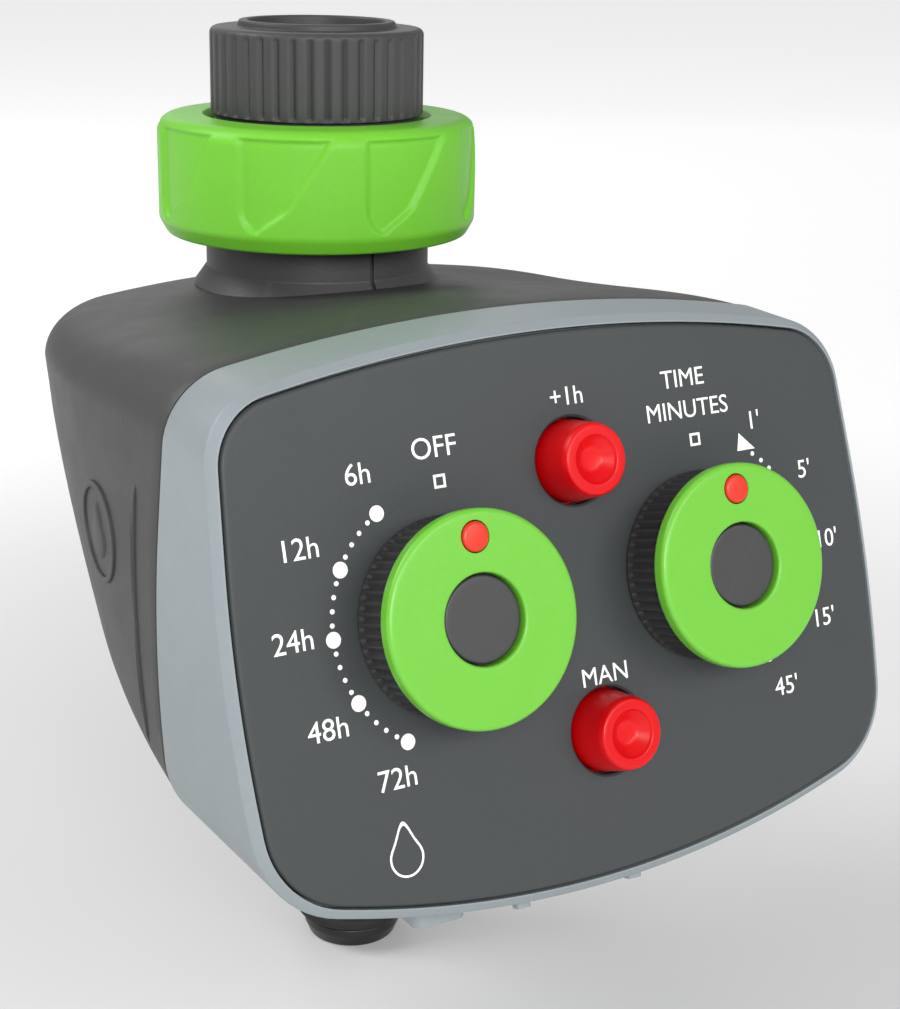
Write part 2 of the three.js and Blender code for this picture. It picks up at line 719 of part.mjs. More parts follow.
function valveBody() {
  const [blockLow, blockHigh] = [VALVE_Z - BLOCK_HALF_HEIGHT, VALVE_Z + BLOCK_HALF_HEIGHT];
  const block = cylinder(BLOCK_RADIUS, blockLow, blockHigh, { y: VALVE_Y, sides: 28 });
  const spigot = turned([
    [0, FLANGE_TOP],
    [FLANGE_RADIUS, FLANGE_TOP],
    [FLANGE_RADIUS, FLANGE_BOTTOM],
    [SPIGOT_RADIUS, FLANGE_BOTTOM],
    [SPIGOT_RADIUS, VALVE_Z + BLOCK_HALF_HEIGHT - 2],
    [0, VALVE_Z + BLOCK_HALF_HEIGHT - 2],
  ]);
  const outlet = cylinder(10.5, -111.7, VALVE_Z - BLOCK_HALF_HEIGHT + 4, { y: OUTLET_Y });
  const stemBoss = alongX(7, 8, STEM_BOSS_END, VALVE_Y, VALVE_Z);
  const ears = VALVE_SCREWS.map(([x, y]) => cylinder(4.5, VALVE_Z - 7, VALVE_Z + 6, { x, y, sides: 16 }));
  const screwHoles = VALVE_SCREWS.map(([x, y]) =>
    cylinder(1.8, VALVE_Z - 6, VALVE_Z + 7, { x, y, sides: 12 }),
  );
  return cut(
    join(block, spigot, outlet, stemBoss, ...ears),
    cylinder(9, -57.2, -20),
    cylinder(10.8, FLANGE_TOP - 1.7, -20),
    cylinder(WATERWAY, -100, -56.7, { y: VALVE_Y }),
    cylinder(CHAMBER_RADIUS, VALVE_Z - 9.6, VALVE_Z + 9.6, { y: VALVE_Y }),
    cylinder(7.5, -120, -88, { y: OUTLET_Y }),
    alongX(STEM_RADIUS + GAP, 5, 30, VALVE_Y, VALVE_Z),
    alongX(5.3, 15, 18.6, VALVE_Y, VALVE_Z),
    ...screwHoles,
  );
}

const wholeBody = valveBody();
part("valve_body_upper", wholeBody.intersect(box(-40, 40, -40, 40, VALVE_Z + GAP / 2, 0)), DARK_PLASTIC);
part("valve_body_lower", wholeBody.intersect(box(-40, 40, -40, 40, -130, VALVE_Z - GAP / 2)), DARK_PLASTIC);

VALVE_SCREWS.forEach(([x, y], i) => {
  const head = cylinder(2.7, VALVE_Z + 6.3, VALVE_Z + 8, { x, y, sides: 16 });
  const shank = cylinder(1.45, VALVE_Z - 5.5, VALVE_Z + 6.5, { x, y, sides: 12 });
  part(`valve_screw_${i + 1}`, join(head, shank), STEEL);
});

// A seat ring hollowed to the ball, above or below it.
function valveSeat(side) {
  const near = BALL_RADIUS + GAP;
  const profile = [];
  for (let k = 0; k <= 3; k++) {
    const radius = 6.2 + k;
    profile.push([radius, VALVE_Z + side * Math.sqrt(near ** 2 - radius ** 2)]);
  }
  profile.push([9.2, VALVE_Z + side * 9.3], [6.2, VALVE_Z + side * 9.3]);
  return turned(profile, { y: VALVE_Y, sides: 24 });
}

part("upper_seat", valveSeat(1), NATURAL_NYLON);
part("lower_seat", valveSeat(-1), NATURAL_NYLON);

// Closed, the ball's waterway lies across the flow.
function valveBall() {
  const ball = new THREE.SphereGeometry(BALL_RADIUS, 20, 12);
  ball.rotateX(Math.PI / 2);
  ball.translate(0, VALVE_Y, VALVE_Z);
  return cut(
    solid(ball),
    cylinder(WATERWAY, -20, 20, { x: 0, y: -VALVE_Z, matrix: ALONG_Y }),
    box(7.6, 12, VALVE_Y - 4, VALVE_Y + 4, VALVE_Z - 1.3, VALVE_Z + 1.3),
  );
}

part("valve_ball", valveBall(), BRASS);

// ---------------------------------------------------------------- gear train, local Z along +X
const GEAR_FRONT = 24;
const STEM_END = 31;

// Half the angle that a tooth spans at a radius, for 20 degree involute teeth.
function toothHalfAngle({ teeth, module }, radius) {
  const pitchRadius = (module * teeth) / 2;
  const pressure = 20 * DEGREE;
  const baseRadius = pitchRadius * Math.cos(pressure);
  const involute = (angle) => Math.tan(angle) - angle;
  const here = Math.acos(Math.min(1, baseRadius / Math.max(radius, baseRadius)));
  const atPitch = (Math.PI / (2 * teeth)) * 0.84; // the rest is backlash
  return atPitch + involute(pressure) - involute(here);
}

function gear(spec, thickness, z0, phase) {
  const pitchRadius = (spec.module * spec.teeth) / 2;
  const root = pitchRadius - 1.25 * spec.module;
  const tip = pitchRadius + 0.9 * spec.module;
  const levels = spec.teeth > 30 ? [root, tip] : [root, pitchRadius, tip];
  const outline = [];
  for (let i = 0; i < spec.teeth; i++) {
    const centre = phase + (i * 2 * Math.PI) / spec.teeth;
    const flank = levels.map((radius) => [radius, toothHalfAngle(spec, radius)]);
    for (const [radius, half] of flank) {
      outline.push([radius * Math.cos(centre - half), radius * Math.sin(centre - half)]);
    }
    for (const [radius, half] of flank.reverse()) {
      outline.push([radius * Math.cos(centre + half), radius * Math.sin(centre + half)]);
    }
  }
  return plate(outline, z0, z0 + thickness);
}

const centreDistance = (a, b) => (a.module * (a.teeth + b.teeth)) / 2;
const idlerReach = centreDistance(VALVE_GEAR, IDLER_PINION);
const motorReach = centreDistance(IDLER_WHEEL, MOTOR_PINION);
// Places and directions in the gearbox's local X and Y: local X is world -Z, local Y is world Y.
const toLocal = (angle) => Math.atan2(Math.cos(angle), -Math.sin(angle));
const STEM_PLACE = new THREE.Vector2(-VALVE_Z, VALVE_Y);
const idlerAngle = toLocal(IDLER_DIRECTION);
const motorAngle = toLocal(MOTOR_DIRECTION);
const IDLER_PLACE = new THREE.Vector2(Math.cos(idlerAngle), Math.sin(idlerAngle))
  .multiplyScalar(idlerReach)
  .add(STEM_PLACE);
const MOTOR_PLACE = new THREE.Vector2(Math.cos(motorAngle), Math.sin(motorAngle))
  .multiplyScalar(motorReach)
  .add(IDLER_PLACE);

function onAxis(name, place, body, material) {
  const mesh = part(name, body, material, gearbox);
  mesh.position.set(place.x, place.y, 0);
}

// The stem's blade fits the ball's slot, and its square end carries the gear.
const stem = join(
  cylinder(STEM_RADIUS, BALL_RADIUS + 0.3, STEM_END, { sides: 20 }),
  box(-1, 1, -2.7, 2.7, 7.9, 10),
);
onAxis("valve_stem", STEM_PLACE, stem, STEEL);
onAxis(
  "output_gear",
  STEM_PLACE,
  cut(
    join(
      gear(VALVE_GEAR, 4, GEAR_FRONT, idlerAngle),
      cylinder(5.5, GEAR_FRONT - 0.5, GEAR_FRONT + 5.5, { sides: 24 }),
    ),
    cylinder(STEM_RADIUS + GAP, 20, 34, { sides: 20 }),
  ),
  NATURAL_NYLON,
);
onAxis(
  "stem_o_ring",
  STEM_PLACE,
  cut(cylinder(5, 15.4, 18.2, { sides: 24 }), cylinder(STEM_RADIUS + GAP, 10, 20, { sides: 24 })),
  BLACK_RUBBER,
);
onAxis(
  "idler_gear",
  IDLER_PLACE,
  cut(
    join(
      gear(IDLER_PINION, 4.8, GEAR_FRONT, idlerAngle + Math.PI + Math.PI / IDLER_PINION.teeth),
      gear(IDLER_WHEEL, 2.5, GEAR_FRONT + 4.6, motorAngle),
    ),
    cylinder(1.8, 20, 34, { sides: 16 }),
  ),
  NATURAL_NYLON,
);
onAxis("idler_pin", IDLER_PLACE, cylinder(1.5, 21.2, 34.8, { sides: 16 }), STEEL);
onAxis(
  "motor_pinion",
  MOTOR_PLACE,
  join(
    gear(MOTOR_PINION, 4, GEAR_FRONT + 4.2, motorAngle + Math.PI + Math.PI / MOTOR_PINION.teeth),
    cylinder(1, 18, GEAR_FRONT + 8, { sides: 12 }),
  ),
  BRASS,
);

const motorCan = cylinder(10, -3, 20.4, { sides: 28 }).intersect(box(-10, 10, -7.6, 7.6, -5, 25));
onAxis("drive_motor", MOTOR_PLACE, cut(motorCan, cylinder(1.3, 17, 25, { sides: 12 })), STEEL);

// Two plates hold the gear train. The inner one fits over the valve's stem boss.
const PLATE_X = { inner: [20.7, 22.2], outer: [34, 35.5] };
const PLATE_OUTLINE = roundedOutline([
  [46, -49, 4],
  [86, -49, 4],
  [86, -16, 6],
  [76, 2, 6],
  [62, 5, 5],
  [46, 4, 4],
], 0, 3);
const PILLARS = [
  [51, -44],
  [82, -44],
  [50, 0],
];

const holeAt = (place, radius) => cylinder(radius, 15, 40, { x: place.x, y: place.y, sides: 20 });
part(
  "gearbox_plate",
  cut(
    plate(PLATE_OUTLINE, ...PLATE_X.inner),
    holeAt(STEM_PLACE, 7.4),
    holeAt(IDLER_PLACE, 1.8),
    holeAt(MOTOR_PLACE, 1.4),
  ),
  STEEL,
  gearbox,
);
part(
  "gearbox_cover",
  cut(
    join(
      plate(PLATE_OUTLINE, ...PLATE_X.outer),
      ...PILLARS.map(([x, y]) =>
        cylinder(2.4, PLATE_X.inner[1] + GAP, PLATE_X.outer[0] + 0.5, { x, y, sides: 16 }),
      ),
    ),
    holeAt(IDLER_PLACE, 1.8),
  ),
  DARK_PLASTIC,
  gearbox,
);

// ---------------------------------------------------------------- outlet
const O_RING_Z = -146;
const nipple = turned([
  [0, -112.2],
  [12.6, -112.2],
  [13.2, -113],
  [13.2, -118.5],
  [10.8, -119.5],
  [10.8, -122.5],
  [7.6, -124.5],
  [7.6, -129],
  [OUTLET_RADIUS, -131],
  [OUTLET_RADIUS, O_RING_Z + 1.5],
  [6.9, O_RING_Z + 1.5],
  [6.9, O_RING_Z - 1.5],
  [8.2, O_RING_Z - 1.5],
  [8.2, O_RING_Z - 2.6],
  [7.3, OUTLET_END],
  [0, OUTLET_END],
], { y: OUTLET_Y });
const nippleThread = cylinder(7.2, -113, -104, { y: OUTLET_Y });
part(
  "outlet_nipple",
  cut(join(nipple, nippleThread), cylinder(WATERWAY, -160, -100, { y: OUTLET_Y })),
  DARK_PLASTIC,
);

const oRingProfile = [];
for (let k = 0; k < 8; k++) {
  const angle = (k * 2 * Math.PI) / 8;
  oRingProfile.push([8.35 + 1.15 * Math.cos(angle), O_RING_Z + 1.15 * Math.sin(angle)]);
}
part("outlet_o_ring", turned(oRingProfile, { y: OUTLET_Y }), BLACK_RUBBER);

export default timer;
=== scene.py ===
"""The drip irrigation timer's looks: fine meshes, materials, studio and camera around the CAD frame.

Shapes are worked out in millimetres in the frame's own axes, and turned into metres when a mesh is made.
"""

import json
import math

import bmesh
import bpy
import numpy as np
from mathutils import Matrix, Vector
from mathutils.bvhtree import BVHTree


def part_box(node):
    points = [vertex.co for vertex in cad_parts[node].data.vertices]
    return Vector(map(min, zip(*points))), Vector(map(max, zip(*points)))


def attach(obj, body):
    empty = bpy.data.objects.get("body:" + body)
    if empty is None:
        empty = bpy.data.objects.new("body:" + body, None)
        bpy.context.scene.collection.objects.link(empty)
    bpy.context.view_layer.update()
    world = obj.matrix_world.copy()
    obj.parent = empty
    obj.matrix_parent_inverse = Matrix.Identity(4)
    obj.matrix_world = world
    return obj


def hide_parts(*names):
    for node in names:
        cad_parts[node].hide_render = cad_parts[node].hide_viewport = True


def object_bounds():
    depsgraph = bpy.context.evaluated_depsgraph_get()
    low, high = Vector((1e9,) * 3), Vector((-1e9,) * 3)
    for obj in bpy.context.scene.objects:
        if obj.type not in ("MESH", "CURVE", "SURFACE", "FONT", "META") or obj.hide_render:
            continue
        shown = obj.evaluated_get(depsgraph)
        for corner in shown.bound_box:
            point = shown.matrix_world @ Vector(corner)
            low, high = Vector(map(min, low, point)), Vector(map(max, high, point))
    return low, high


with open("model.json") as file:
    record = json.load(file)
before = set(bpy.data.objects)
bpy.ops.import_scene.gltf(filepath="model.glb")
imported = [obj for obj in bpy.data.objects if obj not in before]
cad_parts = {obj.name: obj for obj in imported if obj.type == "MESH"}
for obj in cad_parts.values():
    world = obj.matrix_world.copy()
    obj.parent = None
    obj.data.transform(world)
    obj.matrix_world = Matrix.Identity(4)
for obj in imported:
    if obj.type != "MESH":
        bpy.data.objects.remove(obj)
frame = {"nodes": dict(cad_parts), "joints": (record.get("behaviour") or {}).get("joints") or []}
CAD_LOW, CAD_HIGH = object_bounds()

MM = 0.001
TURN = 2 * math.pi
JOINTS = {joint["name"]: joint for joint in frame["joints"]}


def span(node):
    """A CAD node's lowest and highest corners, in millimetres."""
    low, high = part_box(node)
    return np.array(low) / MM, np.array(high) / MM


def joint_place(name):
    return np.array(JOINTS[name]["pos_m"]) / MM


# ---------------------------------------------------------------- places taken from the frame
RIGHT = np.array([1.0, 0.0, 0.0])
OUT = np.array(JOINTS["frequency_dial_turn"]["axis"])  # out of the panel
UP = np.cross(OUT, RIGHT)  # up the panel
DIALS = {"frequency": joint_place("frequency_dial_turn"), "duration": joint_place("duration_dial_turn")}
FACE_CENTRE = (DIALS["frequency"] + DIALS["duration"]) / 2
LEAN = UP[2]  # cosine of the panel's lean

NUT_LOW, NUT_HIGH = span("inlet_nut")
ADAPTER_LOW, ADAPTER_HIGH = span("tap_adapter")
NIPPLE_LOW, NIPPLE_HIGH = span("outlet_nipple")
BEZEL_REAR = span("front_bezel")[1][1]
HOUSING_FRONT = span("rear_housing")[0][1]
OUTLET = (NIPPLE_LOW + NIPPLE_HIGH) / 2

# ---------------------------------------------------------------- casing dimensions, millimetres
PANEL_RIGHT = [[0, -44.2, 157], [49.8, -31, 12], [51.6, -4, 220], [49, 29.8, 9]]
PANEL_TOP = [0, 38.4, 227]
PANEL_CORNERS = [*PANEL_RIGHT, PANEL_TOP, *([-x, y, r] for x, y, r in reversed(PANEL_RIGHT[1:]))]
GAP = 0.3  # between pieces that fit in each other
WALL = 2.4
PANEL_THICKNESS = 2.2
BEZEL_OFFSET = 1.7
BEZEL_LIP_DEPTH = 1.2
HOUSING_OFFSET = 1.4
HOUSING_LENGTH = 79.3
HOUSING_AXIS_Z = -48
HOUSING_DEPTH = 59  # from its axis down to its lowest edge
HOUSING_TAPER = 0.3
NECK_RADIUS = 17.7
NECK_FLARE = 19.7
SPIGOT_BORE = 12.9
BOSS_RADIUS = 13.4  # around the outlet
BOSS_BORE = 10.8
SOFT_CREASE = 35  # degrees above which an edge is drawn sharp, unless a piece says otherwise


# ---------------------------------------------------------------- outlines and sections
def unit(vector):
    return vector / np.linalg.norm(vector)


def filleted(corners, radii, steps=5):
    """A closed outline in 2 or 3 dimensions, with each corner that has a radius turned into an arc."""
    points = []
    for i, corner in enumerate(corners):
        if not radii[i]:
            points.append(corner)
            continue
        back = unit(corners[i - 1] - corner)
        ahead = unit(corners[(i + 1) % len(corners)] - corner)
        half = math.acos(np.clip(back @ ahead, -1, 1)) / 2
        centre = corner + unit(back + ahead) * radii[i] / math.sin(half)
        reach = radii[i] / math.tan(half)
        first = corner + back * reach - centre
        last = corner + ahead * reach - centre
        sweep = math.pi - 2 * half
        for k in range(steps + 1):
            share = k / steps
            arc = math.sin((1 - share) * sweep) * first + math.sin(share * sweep) * last
            points.append(centre + arc / math.sin(sweep))
    return np.array(points)


def profile(corners, steps=5):
    """A closed [radius, z] or [radius, z, fillet] profile with its fillets made."""
    flat = np.array([corner[:2] for corner in corners], float)
    return filleted(flat, [corner[2] if len(corner) > 2 else 0 for corner in corners], steps)


def dense(points, step):
    """The same closed outline with extra points, so that none are further apart than step."""
    made = []
    for here, ahead in zip(points, np.roll(points, -1, 0)):
        count = max(1, math.ceil(np.linalg.norm(ahead - here) / step))
        made += [here + (ahead - here) * k / count for k in range(count)]
    return np.array(made)


def rounded_outline(corners, offset=0.0, spacing=2.0):
    """A convex polygon of [x, y, radius], anticlockwise, its corners turned into arcs.

    The offset moves the whole outline outwards.
    """
    points = []
    for i, (x, y, radius) in enumerate(corners):
        corner = np.array([x, y], float)
        arriving = unit(corner - np.array(corners[i - 1][:2], float))
        leaving = unit(np.array(corners[(i + 1) % len(corners)][:2], float) - corner)
        turn = math.acos(np.clip(arriving @ leaving, -1, 1))
        start = math.atan2(-arriving[0], arriving[1])
        centre = corner - arriving * radius * math.tan(turn / 2)
        centre = centre - radius * np.array([math.cos(start), math.sin(start)])
        steps = max(12, math.ceil(turn * radius / spacing))
        for k in range(steps + 1):
            angle = start + turn * k / steps
            points.append(centre + (radius + offset) * np.array([math.cos(angle), math.sin(angle)]))
    return np.array(points)


def rectangle(half, tall):
    return np.array([[-half, -tall], [half, -tall], [half, tall], [-half, tall]], float)


def square(half):
    return rectangle(half, half)


def circle(radius, count=72):
    angles = np.linspace(0, TURN, count, endpoint=False)
    return np.column_stack([np.cos(angles), np.sin(angles)]) * radius


def on_panel(points, origin=FACE_CENTRE):
    """Points given across, up and out of the panel, put into the frame."""
    return origin + np.asarray(points, float) @ np.array([RIGHT, UP, OUT])


def stand_on_panel(points):
    """Points given across, out of and up the panel, put into the frame."""
    return on_panel(points[:, [0, 2, 1]])


def panel_place(node):
    """Where a CAD node's middle lies across, up and out of the panel, measured along those directions."""
    obj = frame["nodes"][node]
    points = np.array([obj.matrix_world @ vertex.co for vertex in obj.data.vertices]) / MM - FACE_CENTRE
    places = points @ np.array([RIGHT, UP, OUT]).T
    return (places.min(0) + places.max(0)) / 2


def face_ring(offset, depth):
    flat = rounded_outline(PANEL_CORNERS, offset)
    return on_panel(np.column_stack([flat, np.full(len(flat), depth)]))


def upright_ring(offset, y, wide=1.0, up=1.0, down=1.0, taper=0.0):
    """The panel's outline seen from straight ahead, at a given y. The taper narrows its lower part."""
    flat = rounded_outline(PANEL_CORNERS, offset)
    height = FACE_CENTRE[2] + flat[:, 1] * LEAN - HOUSING_AXIS_Z
    depth = np.maximum(0, -height) / HOUSING_DEPTH
    x = flat[:, 0] * wide * (1 - taper * depth)
    z = HOUSING_AXIS_Z + height * np.where(height > 0, up, down)
    return np.column_stack([x, np.full(len(flat), y), z])


# ---------------------------------------------------------------- shapes: (points, faces)
def grid(points, around=True, along=True):
    """Faces over a block of points [i, j]. Each direction can close on itself."""
    rows, columns = points.shape[:2]
    faces = []
    for i in range(rows if around else rows - 1):
        for j in range(columns if along else columns - 1):
            i2, j2 = (i + 1) % rows, (j + 1) % columns
            faces.append((i * columns + j, i2 * columns + j, i2 * columns + j2, i * columns + j2))
    return points.reshape(-1, 3), faces


def turned(section, sides=128, shift=None, centre=(0, 0)):
    """A closed [radius, z] section turned about Z. shift(angle, radius, z) moves its points outwards."""
    section = np.asarray(section, float)
    angle = np.linspace(0, TURN, sides, endpoint=False)[:, None]
    radius = np.repeat(section[None, :, 0], sides, 0)
    z = np.repeat(section[None, :, 1], sides, 0)
    if shift is not None:
        radius = radius + shift(angle + 0 * radius, radius, z)
    x = centre[0] + radius * np.cos(angle)
    y = centre[1] + radius * np.sin(angle)
    return grid(np.stack([x, y, z], -1))


def stacked(rings):
    """Rings of the same number of points, skinned in order and capped at both ends."""
    points = np.array(rings)
    made, faces = grid(points, around=False)
    count = points.shape[1]
    faces.append(tuple(range(count)))
    faces.append(tuple(range(len(made) - count, len(made))))
    return made, faces


def framed(rings, radii):
    """Rings skinned into a closed frame, its section filleted along every ring that has a radius."""
    sections = np.swapaxes(np.array(rings), 0, 1)
    return grid(np.array([filleted(section, radii) for section in sections]))


def block(low, high, radius=0.0, steps=3, to_frame=None):
    """A box with its upright edges rounded, optionally turned into the frame."""
    (x0, y0, z0), (x1, y1, z1) = low, high
    corners = np.array([[x0, y0], [x1, y0], [x1, y1], [x0, y1]], float)
    flat = filleted(corners, [radius] * 4, steps) if radius else corners
    rings = [np.column_stack([flat, np.full(len(flat), z)]) for z in (z0, z1)]
    points, faces = stacked(rings)
    return (to_frame(points) if to_frame else points), faces


def lump(*shapes):
    """Several shapes as one."""
    points, faces, start = [], [], 0
    for some, more in shapes:
        points.append(some)
        faces += [tuple(k + start for k in face) for face in more]
        start += len(some)
    return np.vstack(points), faces


def moved(shape, to_frame):
    return to_frame(shape[0]), shape[1]


# ---------------------------------------------------------------- objects
def mesh_object(name, shape, crease=SOFT_CREASE):
    """A Blender object from a shape, its normals out and its edges sharp above the crease angle."""
    points, faces = shape
    mesh = bpy.data.meshes.new(name)
    mesh.from_pydata([tuple(p) for p in points * MM], [], faces)
    obj = bpy.data.objects.new(name, mesh)
    bpy.context.scene.collection.objects.link(obj)
    tidy(obj, crease)
    return obj


def tidy(obj, crease):
    """Merges points that coincide, turns the normals out and marks the sharp edges."""
    work = bmesh.new()
    work.from_mesh(obj.data)
    bmesh.ops.remove_doubles(work, verts=work.verts, dist=1e-7)
    bmesh.ops.dissolve_degenerate(work, edges=work.edges, dist=1e-8)
    bmesh.ops.recalc_face_normals(work, faces=work.faces)
    work.to_mesh(obj.data)
    work.free()
    obj.data.shade_smooth()
    obj.data.set_sharp_from_angle(angle=math.radians(crease))


def combined(obj, shapes, operation, crease=SOFT_CREASE):
    """Cuts shapes from an object, joins them to it or keeps what it shares with them."""
    for shape in shapes:
        tool = mesh_object("tool", shape)
        change = obj.modifiers.new("change", "BOOLEAN")
        change.operation = operation
        change.object = tool
        change.solver = "EXACT"
        changed = obj.evaluated_get(bpy.context.evaluated_depsgraph_get())
        mesh = bpy.data.meshes.new_from_object(changed)
        obj.modifiers.clear()
        obj.data = mesh
        bpy.data.objects.remove(tool)
    tidy(obj, crease)


def cut(obj, *shapes, crease=SOFT_CREASE):
    combined(obj, shapes, "DIFFERENCE", crease)


def add(obj, *shapes, crease=SOFT_CREASE):
    combined(obj, shapes, "UNION", crease)


def soften(obj, width):
    """Rounds the sharp edges by a width in millimetres."""
    bevel = obj.modifiers.new("soft_edges", "BEVEL")
    bevel.width = width * MM
    bevel.segments = 2
    bevel.limit_method = "ANGLE"
    bevel.angle_limit = math.radians(40)
    bevel.use_clamp_overlap = True


def dress(obj, material, body, slot, *stands_for):
    """Gives a piece its material, puts it under its body's empty and hides the CAD nodes it stands for; slot
    is not used.
    """
    obj.data.materials.clear()
    obj.data.materials.append(material)
    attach(obj, body)
    if stands_for:
        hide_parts(*stands_for)


# ---------------------------------------------------------------- materials
def linear(colour):
    """An sRGB colour, 0 to 255, as the linear colour that shaders take."""
    def channel(value):
        share = value / 255
        return share / 12.92 if share <= 0.04045 else ((share + 0.055) / 1.055) ** 2.4

    return (*map(channel, colour), 1.0)


def scaled(colour, factor):
    return tuple(min(1.0, c * factor) for c in colour[:3]) + (1.0,)


class Nodes:
    """A short way to write a material's node tree."""

    def __init__(self, name):
        self.material = bpy.data.materials.new(name)
        self.material.use_nodes = True
        self.tree = self.material.node_tree
        self.shader = self.tree.nodes["Principled BSDF"]
        self.place = self.new("ShaderNodeTexCoord").outputs["Object"]

    def new(self, kind, **inputs):
        node = self.tree.nodes.new(kind)
        for key, value in inputs.items():
            node.inputs[key.replace("_", " ")].default_value = value
        return node

    def join(self, output, target):
        self.tree.links.new(output, target)

    def noise(self, size, detail=2.0, roughness=0.5):
        """Noise whose features are about size millimetres."""
        node = self.new("ShaderNodeTexNoise", Scale=1 / (size * MM), Detail=detail, Roughness=roughness)
        self.join(self.place, node.inputs["Vector"])
        return node.outputs["Fac"]

    def ramp(self, value, low, high):
        """Black up to a low value and white from a high one."""
        node = self.new("ShaderNodeValToRGB")
        self.join(value, node.inputs["Fac"])
        for end, position in zip(node.color_ramp.elements, (low, high)):
            end.position = position
        return node.outputs["Color"]

    def mix(self, share, first, second):
        node = self.new("ShaderNodeMix")
        node.data_type = "RGBA"
        self.feed(share, node.inputs["Factor"])
        self.feed(first, node.inputs[6])
        self.feed(second, node.inputs[7])
        return node.outputs[2]

    def feed(self, value, socket):
        if isinstance(value, (int, float, tuple)):
            socket.default_value = value
        else:
            self.join(value, socket)

    def spread(self, value, low, high):
        """Maps a 0 to 1 value to a range."""
        node = self.new("ShaderNodeMapRange", To_Min=low, To_Max=high)
        self.join(value, node.inputs["Value"])
        return node.outputs["Result"]

    def bump(self, height, depth, strength=1.0, under=None):
        """Adds relief of a depth in millimetres."""
        node = self.new("ShaderNodeBump", Strength=strength, Distance=depth * MM)
        self.join(height, node.inputs["Height"])
        if under is not None:
            self.join(under, node.inputs["Normal"])
        return node.outputs["Normal"]

    def worn_edges(self):
        """Where the surface is a raised edge."""
        return self.ramp(self.new("ShaderNodeNewGeometry").outputs["Pointiness"], 0.52, 0.6)


def plastic(name, colour, roughness, grain, relief, variety=0.05, wear=0.25, specular=0.5):
    """Moulded plastic: fine grain, faint flow marks, pale specks and slightly rubbed edges.

    The grain's size and the depth of its relief are in millimetres. Variety is how far the colour wanders.
    """
    n, colour = Nodes(name), linear(colour)
    flow = n.noise(14, detail=3)
    base = n.mix(flow, scaled(colour, 1 - variety), scaled(colour, 1 + variety))
    speck = n.ramp(n.noise(0.9, detail=4), 0.35, 0.75)
    base = n.mix(n.spread(speck, 0.0, 0.12), base, scaled(colour, 1.35))
    rubbed = n.new("ShaderNodeMath")
    rubbed.operation = "MULTIPLY"
    n.join(n.worn_edges(), rubbed.inputs[0])
    n.join(n.spread(n.noise(3, detail=3), 0.0, wear * 2), rubbed.inputs[1])
    base = n.mix(rubbed.outputs[0], base, scaled(colour, 1.7))
    n.join(base, n.shader.inputs["Base Color"])
    n.join(n.spread(n.noise(6, detail=4), roughness - 0.06, roughness + 0.08), n.shader.inputs["Roughness"])
    rough = n.bump(n.noise(grain, detail=3, roughness=0.6), relief)
    n.join(n.bump(n.noise(9, detail=1), 0.05, strength=0.4, under=rough), n.shader.inputs["Normal"])
    n.shader.inputs["Specular IOR Level"].default_value = specular
    return n.material


def metal(name, colour, roughness):
    """Metal with fine marks and a few darker stains."""
    n, colour = Nodes(name), linear(colour)
    stain = n.ramp(n.noise(5, detail=4), 0.4, 0.75)
    n.join(n.mix(stain, colour, scaled(colour, 0.75)), n.shader.inputs["Base Color"])
    n.shader.inputs["Metallic"].default_value = 1.0
    marks = n.noise(0.25, detail=3)
    n.join(n.spread(marks, roughness - 0.07, roughness + 0.12), n.shader.inputs["Roughness"])
    n.join(n.bump(marks, 0.006), n.shader.inputs["Normal"])
    return n.material


def rubber(name, colour):
    """Matt moulded rubber with a dusty bloom."""
    n, colour = Nodes(name), linear(colour)
    bloom = n.ramp(n.noise(4, detail=4), 0.45, 0.8)
    n.join(n.mix(n.spread(bloom, 0.0, 0.35), colour, scaled(colour, 2.2)), n.shader.inputs["Base Color"])
    n.join(n.spread(n.noise(2), 0.65, 0.85), n.shader.inputs["Roughness"])
    n.join(n.bump(n.noise(0.3, detail=3), 0.02), n.shader.inputs["Normal"])
    return n.material


def clear_rubber(name, colour):
    """Translucent silicone."""
    n, colour = Nodes(name), linear(colour)
    n.join(n.mix(n.noise(8), scaled(colour, 0.93), scaled(colour, 1.05)), n.shader.inputs["Base Color"])
    n.join(n.spread(n.noise(3), 0.45, 0.6), n.shader.inputs["Roughness"])
    n.join(n.bump(n.noise(0.4), 0.01), n.shader.inputs["Normal"])
    n.shader.inputs["Subsurface Weight"].default_value = 0.3
    n.shader.inputs["Subsurface Scale"].default_value = 0.002
    return n.material


def board(name):
    """A solder-masked circuit board with traces under the mask."""
    n = Nodes(name)
    brick = n.new("ShaderNodeTexBrick", Scale=1 / (9 * MM), Mortar_Size=0.035)
    n.join(n.place, brick.inputs["Vector"])
    mask, trace = linear((24, 84, 50)), linear((44, 120, 70))
    n.join(n.mix(brick.outputs["Fac"], mask, trace), n.shader.inputs["Base Color"])
    n.join(n.spread(n.noise(2), 0.3, 0.45), n.shader.inputs["Roughness"])
    n.join(n.bump(brick.outputs["Fac"], 0.03, under=n.bump(n.noise(0.4), 0.01)), n.shader.inputs["Normal"])
    return n.material


def ink(name, colour):
    """Pad-printed ink, thin in places."""
    n, colour = Nodes(name), linear(colour)
    thin = n.ramp(n.noise(0.5, detail=4), 0.3, 0.7)
    n.join(n.mix(thin, scaled(colour, 0.86), colour), n.shader.inputs["Base Color"])
    n.join(n.spread(n.noise(1.5), 0.4, 0.55), n.shader.inputs["Roughness"])
    n.join(n.bump(thin, 0.008), n.shader.inputs["Normal"])
    return n.material


